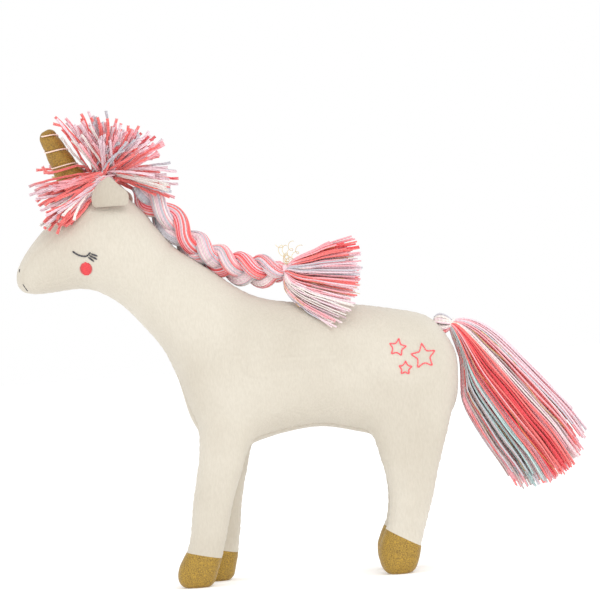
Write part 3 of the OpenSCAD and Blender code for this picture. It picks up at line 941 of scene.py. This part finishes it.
def make_ear_layer(side, side_name, layer, node, depth, thick, edge):
    """A layer bent outwards by a depth and cut smaller than the leaf by the edge."""
    bm = bmesh.new()
    bmesh.ops.create_grid(bm, x_segments=22, y_segments=30, size=1.0)
    rise, left = zip(*EAR_LEFT_EDGE)
    rise_behind, right_edge = zip(*EAR_RIGHT_EDGE)
    for vert in bm.verts:
        u, v = vert.co.x, (vert.co.y + 1) / 2
        low = np.interp(v, rise, left) * edge
        high = np.interp(v, rise_behind, right_edge) * edge
        x = (low + high) / 2 + (high - low) / 2 * u
        puff = depth * (1 - u * u) * math.sin(math.pi * min(v * 0.92 + 0.08, 1.0)) ** 0.7
        z = EAR_HEIGHT * edge * v * (1 - 0.06 * u * u)
        y = side * (EAR_Y + puff + 0.6 * (1 - v))
        vert.co = Vector((EAR_FOOT[0] + x, y, EAR_FOOT[1] + z)) * MM
    bmesh.ops.smooth_vert(bm, verts=bm.verts, factor=0.5, use_axis_x=True, use_axis_y=True,
                          use_axis_z=True)
    bmesh.ops.recalc_face_normals(bm, faces=bm.faces)
    obj = finish_mesh(bm, f"ear_{side_name}_{layer}", SHADED_EAR_COTTON)
    wall = obj.modifiers.new("thickness", "SOLIDIFY")
    wall.thickness = thick * MM
    wall.offset = 0
    fine = obj.modifiers.new("rounded", "SUBSURF")
    fine.levels = fine.render_levels = 1
    take_over(obj)
    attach(obj, "ear_" + side_name)
    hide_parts(f"ear_{side_name}_{node}")


for side, name in ((-1, "left"), (1, "right")):
    make_ear_layer(side, name, "front", "outer", depth=6.0, thick=1.4, edge=1.0)
    make_ear_layer(side, name, "back", "lining", depth=-0.4, thick=1.2, edge=0.97)

# %% [markdown]
# ## Horn
#
# The horn is a stuffed cone of gold cloth with a thread wound round it in a spiral. The thread
# bites into the cloth, so the cone is drawn in under it and bulges between its turns.

# %% Horn
HORN_BASE = np.array([-158.5, 0, 299.5])
HORN_LENGTH = 58.0
HORN_LEAN = math.radians(25)
HORN_PITCH = 13.0


def horn_radius(share):
    if share < 0.9:
        return 12.5 - 6.4 * share
    return 6.74 * math.sqrt(max(1 - ((share - 0.9) / 0.105) ** 2, 0))


def horn_point(share, radius, turn):
    x, y, z = radius * math.cos(turn), radius * math.sin(turn), HORN_LENGTH * share
    lean_x = x * math.cos(HORN_LEAN) - z * math.sin(HORN_LEAN)
    lean_z = x * math.sin(HORN_LEAN) + z * math.cos(HORN_LEAN)
    return (HORN_BASE + [lean_x, y, lean_z]) * MM


def thread_turn(share):
    """The angle at which the thread passes a share of the way up the horn."""
    return -math.pi / 2 - 2 * math.pi * (share - 0.70) * HORN_LENGTH / HORN_PITCH


def make_horn():
    sides, steps = 40, 90
    rings = []
    for i in range(steps):
        share = 0.996 * math.sin(math.pi / 2 * i / (steps - 1)) ** 0.9
        ring = []
        for k in range(sides):
            turn = 2 * math.pi * k / sides
            near = math.cos(turn - thread_turn(share))
            bite = 0.9 * max(near, 0) ** 6 if 0.08 < share < 0.95 else 0
            bulge = 0.35 * (1 - near) / 2
            ring.append(horn_point(share, max(horn_radius(share) - bite + bulge, 0.3), turn))
        rings.append(ring)
    bm = bmesh.new()
    add_loft(bm, rings)
    obj = finish_mesh(bm, "horn_cone", HORN_GOLD)
    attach(obj, "horn")
    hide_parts("horn_cover", "horn_stuffing")
    return obj


make_horn()
print("horn top", round(float(horn_point(1, 0, 0)[2]) / MM, 1))

# %% [markdown]
# ## Yarn
#
# A strand of yarn is a thin tube along a path. One short tube is made with operators: a circle,
# extruded once for each point of the path and closed at both ends. It is copied once for each
# strand, and its rings are moved onto that strand's path. Every strand keeps its colour and its
# place along the yarn in attributes, which the finish reads for the colour and for the twist.


# %% One tube, copied along many paths
def tube_template(rings, sides):
    bm = bmesh.new()
    made = bmesh.ops.create_circle(bm, segments=sides, radius=1.0)["verts"]
    edges = list(bm.edges)
    for _ in range(rings - 1):
        grown = bmesh.ops.extrude_edge_only(bm, edges=edges)["geom"]
        made = [g for g in grown if isinstance(g, bmesh.types.BMVert)]
        edges = [g for g in grown if isinstance(g, bmesh.types.BMEdge)]
        bmesh.ops.translate(bm, verts=made, vec=(0, 0, 1))
    bmesh.ops.holes_fill(bm, edges=bm.edges, sides=sides)
    bmesh.ops.recalc_face_normals(bm, faces=bm.faces)
    mesh = bpy.data.meshes.new("tube")
    bm.to_mesh(mesh)
    bm.free()
    return mesh


def path_frames(paths):
    """A direction and two normals at every point, turned as little as possible."""
    ahead = np.empty_like(paths)
    ahead[:, 1:-1] = paths[:, 2:] - paths[:, :-2]
    ahead[:, 0] = paths[:, 1] - paths[:, 0]
    ahead[:, -1] = paths[:, -1] - paths[:, -2]
    ahead /= np.maximum(np.linalg.norm(ahead, axis=2, keepdims=True), 1e-12)
    normal = np.zeros_like(paths)
    guess = np.where(np.abs(ahead[:, :1, 1:2]) > 0.8, [[[1.0, 0, 0]]], [[[0, 1.0, 0]]])[:, 0]
    for i in range(paths.shape[1]):
        guess = guess - (guess * ahead[:, i]).sum(1, keepdims=True) * ahead[:, i]
        guess /= np.maximum(np.linalg.norm(guess, axis=1, keepdims=True), 1e-12)
        normal[:, i] = guess
    return normal, np.cross(ahead, normal)


def yarn(name, paths, radii, tints, body, nodes, material=None, sides=6):
    """paths is strands x points x 3 in metres, radii and tints have a value for each point."""
    paths = np.array(paths, float)
    strands, rings = paths.shape[:2]
    template = tube_template(rings, sides)
    base = coordinates(template)
    ring = np.rint(base[:, 2]).astype(int)
    turn = np.arctan2(base[:, 1], base[:, 0])
    bm = bmesh.new()
    for _ in range(strands):
        bm.from_mesh(template)
    obj = finish_mesh(bm, name, material or YARN)
    bpy.data.meshes.remove(template)
    radii = np.broadcast_to(np.array(radii, float), (strands, rings))
    normal, other = path_frames(paths)
    out = np.cos(turn)[None, :, None] * normal[:, ring] + np.sin(turn)[None, :, None] * other[:, ring]
    places = paths[:, ring] + out * radii[:, ring, None]
    obj.data.vertices.foreach_set("co", places.ravel())
    steps = np.linalg.norm(np.diff(paths, axis=1), axis=2)
    reach = np.concatenate([np.zeros((strands, 1)), np.cumsum(steps, axis=1)], 1)
    around = np.stack([np.broadcast_to(np.cos(turn), (strands, len(turn))),
                       np.broadcast_to(np.sin(turn), (strands, len(turn))), reach[:, ring]], 2)
    layer = obj.data.attributes.new("around", "FLOAT_VECTOR", "POINT")
    layer.data.foreach_set("vector", around.astype(np.float32).ravel())
    tints = np.array(tints, float)
    if tints.ndim == 2:
        tints = np.repeat(tints[:, None], rings, axis=1)
    colour = obj.data.attributes.new("tint", "FLOAT_COLOR", "POINT")
    colour.data.foreach_set("color", tints[:, ring].astype(np.float32).ravel())
    obj.data.update()
    if isinstance(body, str):
        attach(obj, body)
    else:
        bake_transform(obj)
    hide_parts(*nodes)
    return obj


# %% The colours of the dyed yarn
CORAL = np.array(tone(255, 124, 120))
RED = np.array(tone(240, 78, 86))
PINK = np.array(tone(252, 178, 186))
BLUSH = np.array(tone(244, 216, 224))
CREAM = np.array(tone(246, 236, 230))
GREY = np.array(tone(208, 206, 214))
MINT = np.array(tone(186, 220, 218))
GOLD = np.array(tone(224, 188, 116))
TAUPE = np.array(tone(206, 184, 180))


def pick(rand, weights):
    colours, shares = zip(*weights)
    return rand.choices(colours, shares)[0] * rand.uniform(0.9, 1.04)


def dyed(rand, weights, rings):
    """One strand's colour, which may change to another along its length."""
    first, second = pick(rand, weights), pick(rand, weights)
    place, width = rand.uniform(-0.4, 1.4), rand.uniform(0.08, 0.3)
    share = 1 / (1 + np.exp(-(np.linspace(0, 1, rings) - place) / width * 4))
    return first[None] * (1 - share[:, None]) + second[None] * share[:, None]


# %% Keeping yarn out of the cloth
def clear_of_skin(path, gap):
    """Moves the points of a path that are inside the skin, or too close, out of it."""
    out = []
    for place in path:
        near, normal, _, distance = surface.find_nearest(Vector(place))
        inside = (Vector(place) - near).dot(normal) < 0
        if inside or distance < gap:
            place = np.array(near + normal * gap)
        out.append(place)
    return np.array(out)


def clear_when_swung(path, gap, pivot, swings):
    """Keeps a path out of the cloth at both ends of a swing about an upright axis, and at rest."""
    pivot = np.array(pivot)
    for degrees in (*swings, 0):
        turn = np.array(Matrix.Rotation(math.radians(degrees), 3, "Z"))
        path = (clear_of_skin((path - pivot) @ turn.T + pivot, gap) - pivot) @ turn + pivot
    return path


MANE_PIVOT, MANE_SWINGS = (-0.0122, -0.004, 0.233), (-20, 5)
TAIL_PIVOT, TAIL_SWINGS = (0.1093, 0, 0.1894), (-30, 30)

# %% [markdown]
# ## The forelock
#
# The forelock is a pompom: a bunch of yarn tied in the middle and cut, so that the ends stand
# out all round. Its strands start at one knot on top of the head and bend a little under their
# own weight. They keep clear of the horn and lie on the head where they reach it.

# %% Forelock
KNOT = np.array([-137.5, 0.0, 316.0])
HORN_AXIS = np.array([-math.sin(HORN_LEAN), 0, math.cos(HORN_LEAN)])
LOCK_COLOURS = [(CORAL, 33), (PINK, 20), (BLUSH, 23), (RED, 4), (GREY, 13), (CREAM, 8), (GOLD, 0.6)]
LOCK_REACH = [(-32, 50), (-17, 54), (0, 51), (17, 49), (40, 47), (60, 43), (80, 44), (100, 51),
              (118, 52), (135, 52), (170, 54), (187, 60), (200, 58), (217, 58), (229, 51)]
HORN_GAP = (130, 168)
LOCK_STRANDS, LOCK_RINGS = 400, 12
PLY_SHADES = (1.0, 1.05, 0.93)


def clear_of_horn(path):
    """Moves a path's points away from the horn, further near its tip, which moves most."""
    out = []
    for place in path:
        offset = place / MM - HORN_BASE
        share = np.clip(offset @ HORN_AXIS / HORN_LENGTH, 0, 1.05)
        away = offset - HORN_AXIS * (offset @ HORN_AXIS)
        need = horn_radius(min(share, 0.9)) + 2.0 + 7.0 * share if share < 1.02 else 0
        length = np.linalg.norm(away)
        if 0 < length < need:
            place = place + away / length * (need - length) * MM
        out.append(place)
    return np.array(out)


def ply(paths, threads, spread, splay, turns):
    """Each path as a few threads twisted together, which part near the end."""
    normal, other = path_frames(paths)
    share = np.linspace(0, 1, paths.shape[1])
    reach = spread + splay * np.clip((share - 0.75) / 0.25, 0, 1) ** 2
    out = []
    for k in range(threads):
        angle = 2 * math.pi * (k / threads + turns * share)
        out.append(paths + (np.cos(angle) * reach)[None, :, None] * normal
                   + (np.sin(angle) * reach)[None, :, None] * other)
    return np.concatenate(out)


def touches_ear(path):
    """Whether a path enters the room that an ear needs when it folds inwards."""
    x, y, z = (path / MM).T
    return bool(((x > -151) & (x < -121) & (z > 287) & (z < 314) & (np.abs(y) > 20)).any())


def make_forelock():
    rand = random.Random(5)
    rings, paths, tints, left = LOCK_RINGS, [], [], 0
    share = np.linspace(0, 1, rings)[:, None]
    while len(paths) < LOCK_STRANDS:
        if left == 0:
            left = rand.randint(2, 6)
            low = rand.random() < 0.27
            tuft = rand.uniform(188, 229) if low else rand.uniform(-30, 200)
            tuft_side, tuft_tint = rand.uniform(-0.78, 0.78), dyed(rand, LOCK_COLOURS, rings)
        left -= 1
        degrees = tuft + rand.gauss(0, 2.2)
        sideways = max(-0.8, min(0.8, tuft_side + rand.gauss(0, 0.04)))
        if HORN_GAP[0] < degrees < HORN_GAP[1]:
            continue
        around = math.radians(degrees)
        if math.sin(around) < 0.1:
            sideways = math.copysign(0.3 + 0.5 * abs(sideways), sideways)
        flat = math.sqrt(1 - sideways**2)
        aim = np.array([math.cos(around) * flat, sideways, math.sin(around) * flat])
        length = np.interp(degrees, *zip(*LOCK_REACH)) * rand.uniform(0.82, 1.02)
        length *= 1 - 0.2 * abs(sideways) ** 3 * (math.sin(around) > 0.1)
        sag = rand.uniform(0.0, 5.0) * (1 if math.sin(around) > -0.2 else 0)
        bend = np.array([rand.gauss(0, 4), rand.gauss(0, 3), rand.gauss(0, 3.5)])
        start = KNOT + np.array([rand.gauss(0, 4.5), rand.gauss(0, 3.0), rand.gauss(0, 2.0)])
        if degrees > 205:
            start += [-3, math.copysign(9, sideways), -4]
        path = start + aim * length * share + bend * share * (1.2 - share) \
            - [0, 0, sag] * share**2 + bend[::-1] * 0.5 * share**3
        path = clear_of_horn(clear_of_skin(path * MM, 2.2 * MM))
        if touches_ear(path):
            continue
        paths.append(path)
        tints.append(tuft_tint * rand.uniform(0.9, 1.06))
    paths = ply(np.array(paths), len(PLY_SHADES), 0.56 * MM, 0.25 * MM, 1.6)
    tints = np.concatenate([np.array(tints) * shade for shade in PLY_SHADES])
    radii = 0.5 * MM * (1 + 0.15 * np.clip((share[:, 0] - 0.85) / 0.15, 0, 1))
    return yarn("forelock_strands", paths, radii, tints, "head", ["forelock_yarn"], sides=5)


forelock = make_forelock()
print("forelock", len(forelock.data.polygons), "faces")


# %% Wrapped ties: a thread wound round a bunch
def wind(name, centre, axis, radius, width, turns, thick, tint, body, nodes):
    centre, axis = np.array(centre, float), np.array(axis, float)
    axis /= np.linalg.norm(axis)
    side = np.cross(axis, [0, 1.0, 0])
    side /= np.linalg.norm(side)
    other = np.cross(axis, side)
    count = int(turns * 14)
    share = np.linspace(0, 1, count)
    angle = share * turns * 2 * math.pi
    path = (centre + np.outer((share - 0.5) * width, axis)
            + radius * (np.outer(np.cos(angle), side) + np.outer(np.sin(angle), other)))
    yarn(name, [path * MM], thick * MM, tint[None], body, nodes)


wind("forelock_binding", (-140, 0, 305.5), (0, 0, 1), 5.0, 3.0, 3, 0.8, CORAL, "head",
     ["forelock_tie"])


# %% The spiral thread of the horn
def make_horn_thread():
    count = int(0.85 * HORN_LENGTH / HORN_PITCH * 24)
    path = []
    for i in range(count):
        share = 0.1 + 0.85 * i / (count - 1)
        path.append(horn_point(share, horn_radius(share) + 0.1, thread_turn(share)))
    tint = np.array([tone(250, 220, 200)])
    yarn("horn_winding", [path], 0.6 * MM, tint, "horn", ["horn_thread"])


make_horn_thread()

# %% [markdown]
# ## The plait
#
# The mane is plaited from three bunches. Each bunch weaves from side to side, and in front of
# and behind the others, and its yarns lie round a core. The plait follows the back of the
# neck, and is free near its end. It is made in two lengths.

# %% Plait
PLAIT_LINE = [(-117, 0, 305), (-110, 0, 297), (-101, 0, 287.6), (-94.6, 0, 279), (-88, 0, 269.6),
              (-84, 0, 263.8), (-75, 0, 255.4), (-63.5, 0, 247.2), (-55, 0, 242.6), (-45, -1, 238.3),
              (-36, -2, 236.2), (-27, -2, 234.4), (-18, -3, 233.4), (-9, -4, 232.6)]
PLAIT_PITCH = 50.0
ROOT_REACH, TIE_REACH = 10.0, 4.5
PLAIT_POINTS, BUNCH_YARNS = 90, 38
BUNCH_RADIUS, BUNCH_CORE = 5.2, 4.5
PLAIT_TILT = math.radians(-48)
PLAIT_CUT = -65.0
PLAIT_COLOURS = [
    [(CORAL, 34), (PINK, 22), (RED, 14), (GREY, 10), (BLUSH, 16), (GOLD, 4)],
    [(PINK, 22), (BLUSH, 28), (CORAL, 18), (GREY, 14), (CREAM, 14), (GOLD, 4)],
    [(GREY, 34), (MINT, 14), (BLUSH, 20), (CREAM, 18), (CORAL, 6), (PINK, 8)],
]


def smooth_line(points, count):
    points = refined(refined(points))
    reach = np.concatenate([[0], np.cumsum(np.linalg.norm(np.diff(points, axis=0), axis=1))])
    where = np.linspace(0, reach[-1], count)
    return np.stack([np.interp(where, reach, points[:, k]) for k in range(3)], 1), where


def drawn_in(where, at_root, at_tie):
    """How full the plait is along its length: it is drawn in at its root and at its tie."""
    return 1 - at_root * bell(where, ROOT_REACH) - at_tie * bell(where - where[-1], TIE_REACH)


def plait_paths(phase, count):
    """The middle of one bunch and how far along each point is; the bunches meet at both ends."""
    line, where = smooth_line(PLAIT_LINE, count)
    ahead = np.gradient(line, axis=0)
    ahead /= np.linalg.norm(ahead, axis=1, keepdims=True)
    across = np.stack([-ahead[:, 2], np.zeros(count), ahead[:, 0]], 1)
    angle = 2 * math.pi * line[:, 0] / PLAIT_PITCH + phase
    gather = drawn_in(where, 0.7, 0.6)
    wide, deep = 7.4 * np.sin(angle) * gather, 4.6 * np.sin(2 * angle) * gather
    side = wide * math.cos(PLAIT_TILT) - deep * math.sin(PLAIT_TILT)
    out = wide * math.sin(PLAIT_TILT) + deep * math.cos(PLAIT_TILT)
    return line + across * side[:, None] + np.array([0, 1.0, 0]) * out[:, None], where


def make_plait():
    rand = random.Random(9)
    count, yarns = PLAIT_POINTS, BUNCH_YARNS
    paths, radii, tints = [], [], []
    for bunch in range(3):
        middle, where = plait_paths(2 * math.pi * bunch / 3, count)
        normal, other = path_frames(middle[None])
        pinch = drawn_in(where, 0.4, 0.4)
        for k in range(yarns + 1):
            core = k == yarns
            turn = 2 * math.pi * k / yarns + where / 55.0
            wobble = 1.04 * rand.uniform(0.92, 1.04) + 0.06 * np.sin(
                where / rand.uniform(5, 9) + rand.uniform(0, 6.3))
            reach = (0.0 if core else BUNCH_RADIUS) * pinch * wobble
            path = middle + (np.cos(turn) * reach)[:, None] * normal[0] \
                + (np.sin(turn) * reach)[:, None] * other[0]
            paths.append(path * MM if core else clear_of_skin(path * MM, 0.6 * MM))
            radii.append((BUNCH_CORE if core else rand.uniform(0.5, 0.66)) * MM * pinch)
            tints.append(dyed(rand, PLAIT_COLOURS[bunch], count))
    paths, radii, tints = np.array(paths), np.array(radii), np.array(tints)
    cut = int(np.argmax(smooth_line(PLAIT_LINE, count)[0][:, 0] > PLAIT_CUT))
    for name, part, nodes, body in (
        ("plait_upper", slice(0, cut + 1),
         ["braid_root", "braid_strand_a", "braid_strand_b", "braid_strand_c"],
         ("torso", "head", NECK_START, NECK_END)),
        ("plait_lower", slice(cut, count), ["braid_end"],
         ("torso", "mane_end", (-0.058, 0, 0.248), (-0.042, 0, 0.240))),
    ):
        yarn(name, paths[:, part], radii[:, part], tints[:, part], body, nodes, sides=5)


make_plait()
print("plait in two lengths, cut at", PLAIT_CUT)

# %% [markdown]
# ## Tassels
#
# Below a tie the yarns spread into a tassel. A tassel is described like the trunk, by sections
# that widen away from the tie. Every yarn keeps its own place in all the sections, so the yarns
# fan out without crossing, and each is cut a little shorter or longer than its neighbours.

# %% Tassels
MANE_TASSEL = [
    [-7, 236, -9, 230, 4],
    [-1, 241.5, -9.5, 223, 6.5],
    [6, 245, -6.5, 214, 8.5],
    [17, 249, 2, 205, 10],
    [28, 254, 12, 196, 11],
    [59, 261, 38, 179, 10],
]
TAIL_TASSEL = [
    [114, 185.5, 113, 181.5, 3.5],
    [119, 187.5, 114.5, 179.5, 5],
    [127, 188, 117.5, 164, 9],
    [139, 183.5, 118.5, 143, 13],
    [153, 172.5, 120, 125, 15.5],
    [170, 154, 127.5, 107, 17.5],
    [188, 133, 138.5, 86, 18.5],
    [204, 113, 149.5, 68, 18],
    [223, 84, 160, 44, 15],
]


def tassel(name, sections, strands, rings, seed, thick, colours, place, body, nodes,
           ragged=0.09, dome=0.0, wave=0.5, material=None):
    rand = random.Random(seed)
    rows = refined(refined(sections))
    share = np.linspace(0, 1, len(rows))
    paths, radii, tints = [], [], []
    for _ in range(strands):
        angle, reach = rand.uniform(0, 2 * math.pi), math.sqrt(rand.uniform(0.02, 1.0))
        across, out = reach * math.cos(angle), reach * math.sin(angle)
        last = 1 - dome * across**2 - rand.uniform(0, ragged) * (0.5 + abs(across))
        where = np.linspace(0, last, rings)
        row = np.stack([np.interp(where, share, rows[:, k]) for k in range(5)], 1)
        x = (row[:, 0] + row[:, 2]) / 2 + (row[:, 0] - row[:, 2]) / 2 * across
        z = (row[:, 1] + row[:, 3]) / 2 + (row[:, 1] - row[:, 3]) / 2 * across
        y = row[:, 4] * out
        phase, length = rand.uniform(0, 6.3), rand.uniform(1.5, 3.5)
        drift = wave * where * np.sin(phase + length * 2 * math.pi * where)
        path = place(np.stack([x + drift, y + drift * 1.4, z + drift * 0.6], 1))
        swing = (TAIL_PIVOT, TAIL_SWINGS) if body == "tail" else (MANE_PIVOT, MANE_SWINGS)
        if isinstance(body, str):
            path = clear_when_swung(path * MM, 0.9 * MM, *swing) / MM
        paths.append(path * MM)
        radii.append(thick * rand.uniform(0.85, 1.15) * MM * np.ones(rings))
        tints.append(dyed(rand, colours(across, out, rand), rings))
    return yarn(name, paths, radii, tints, body, nodes, material)


def on_the_left(path):
    """The mane's tassel hangs over the left side of the back."""
    out = path.copy()
    out[:, 1] += -4 - (238 - path[:, 2]) * 0.5 - (path[:, 0] + 5) * 0.3
    return out


def as_it_is(path):
    """The tail's sections need no further move."""
    return path


def mane_colours(across, out, rand):
    if across > 0.55:
        return [(CORAL, 40), (PINK, 34), (RED, 8), (BLUSH, 18)]
    if across > 0.1:
        return [(BLUSH, 40), (GREY, 26), (PINK, 20), (CREAM, 14)]
    if across > -0.3:
        return [(CORAL, 36), (PINK, 24), (BLUSH, 26), (GOLD, 6), (CREAM, 8)]
    return [(CREAM, 44), (BLUSH, 36), (PINK, 12), (GREY, 8)]


def tail_colours(across, out, rand):
    across += 0.12 * out + rand.uniform(-0.05, 0.05)
    if across > 0.7:
        return [(BLUSH, 44), (PINK, 30), (GREY, 16), (CORAL, 10)]
    if across > 0.5:
        return [(CORAL, 56), (PINK, 44)]
    if across > 0.28:
        return [(BLUSH, 50), (CREAM, 20), (PINK, 20), (TAUPE, 10)]
    if across > -0.3:
        return [(CORAL, 40), (RED, 44), (PINK, 12), (BLUSH, 4)]
    if across > -0.45:
        return [(PINK, 50), (BLUSH, 20), (CORAL, 30)]
    if across > -0.7:
        return [(MINT, 44), (TAUPE, 34), (GREY, 22)]
    return [(TAUPE, 42), (GREY, 20), (PINK, 26), (CORAL, 12)]


tassel("mane_tassel_strands", MANE_TASSEL, 190, 16, 21, 0.6, mane_colours, on_the_left,
       "mane_tassel", ["mane_tassel"], dome=0.1)
tassel("tail_strands", TAIL_TASSEL, 360, 20, 33, 0.62, tail_colours, as_it_is,
       "tail", ["tail_tassel"], ragged=0.07, dome=0.07)
print("tassels done")

# %% Gold thread among the yarn, thin and slightly curled
def gold_colours(across, out, rand):
    return [(GOLD, 1)]


tassel("tail_gold_threads", TAIL_TASSEL, 26, 40, 41, 0.24, gold_colours, as_it_is, "tail",
       [], ragged=0.3, dome=0.1, wave=2.2, material=GOLD_THREAD)
tassel("mane_gold_threads", MANE_TASSEL, 16, 36, 43, 0.24, gold_colours, on_the_left,
       "mane_tassel", [], ragged=0.3, dome=0.1, wave=2.0, material=GOLD_THREAD)


def make_curls():
    """A tuft of curly gold thread that stands up from the mane's tie."""
    rand = random.Random(3)
    paths = []
    for _ in range(5):
        share = np.linspace(0, 1, 48)
        lean = rand.uniform(-6, 14)
        height = rand.uniform(9, 21)
        loops = rand.uniform(2, 3.6) * 2 * math.pi
        phase = rand.uniform(0, 6.3)
        size = rand.uniform(1.4, 2.6)
        x = -6 + lean * share + size * np.sin(phase + loops * share) * share**0.4
        sideways = size * 0.8 * np.cos(phase * 2 + loops * 0.8 * share)
        y = -5 + rand.uniform(-3, 3) * share + sideways * share
        z = 236 + height * share**0.9 + size * np.cos(phase + loops * share) * share**0.4
        paths.append(np.stack([x, y, z], 1) * MM)
    tints = np.repeat(np.array([tone(236, 220, 168)]), len(paths), axis=0)
    yarn("mane_gold_curls", paths, 0.22 * MM, tints, "mane_tassel", [], GOLD_THREAD)


make_curls()

# %% [markdown]
# ## Ties and the root of the tail
#
# The plait and the tail are tied off with a few turns of yarn. Between the body and its tie the
# tail is a short, fat loop of yarn, which bulges out of the seam of the rump.

# %% Ties and tail root
wind("mane_tie_winding", (-8, -4, 232.7), (1, 0, -0.1), 5.2, 3.0, 3, 0.75, BLUSH, "mane_tassel",
     ["mane_tie"])
wind("tail_tie_winding", (115.7, 0, 184.5), (0.8, 0, -0.6), 4.1, 1.8, 3, 0.6, CREAM, "tail",
     ["tail_tie"])
TAIL_ROOT = [
    [103, 190, 101, 181.5, 4.5],
    [106, 192.5, 103.5, 177.5, 6.5],
    [110, 192, 107.5, 176.5, 7],
    [113.5, 189.5, 111.5, 178.5, 5.5],
    [116.5, 186.5, 115, 181.5, 3.5],
]


def root_colours(across, out, rand):
    if across < -0.4:
        return [(CORAL, 60), (PINK, 40)]
    return [(CREAM, 60), (BLUSH, 30), (GREY, 10)]


tassel("tail_root_loops", TAIL_ROOT, 70, 10, 8, 0.8, root_colours, as_it_is,
       ("torso", "tail_knot", (0.103, 0, 0.187), (0.1125, 0, 0.185)), ["tail_knot"],
       ragged=0.0, wave=0.2)
print("ties done")
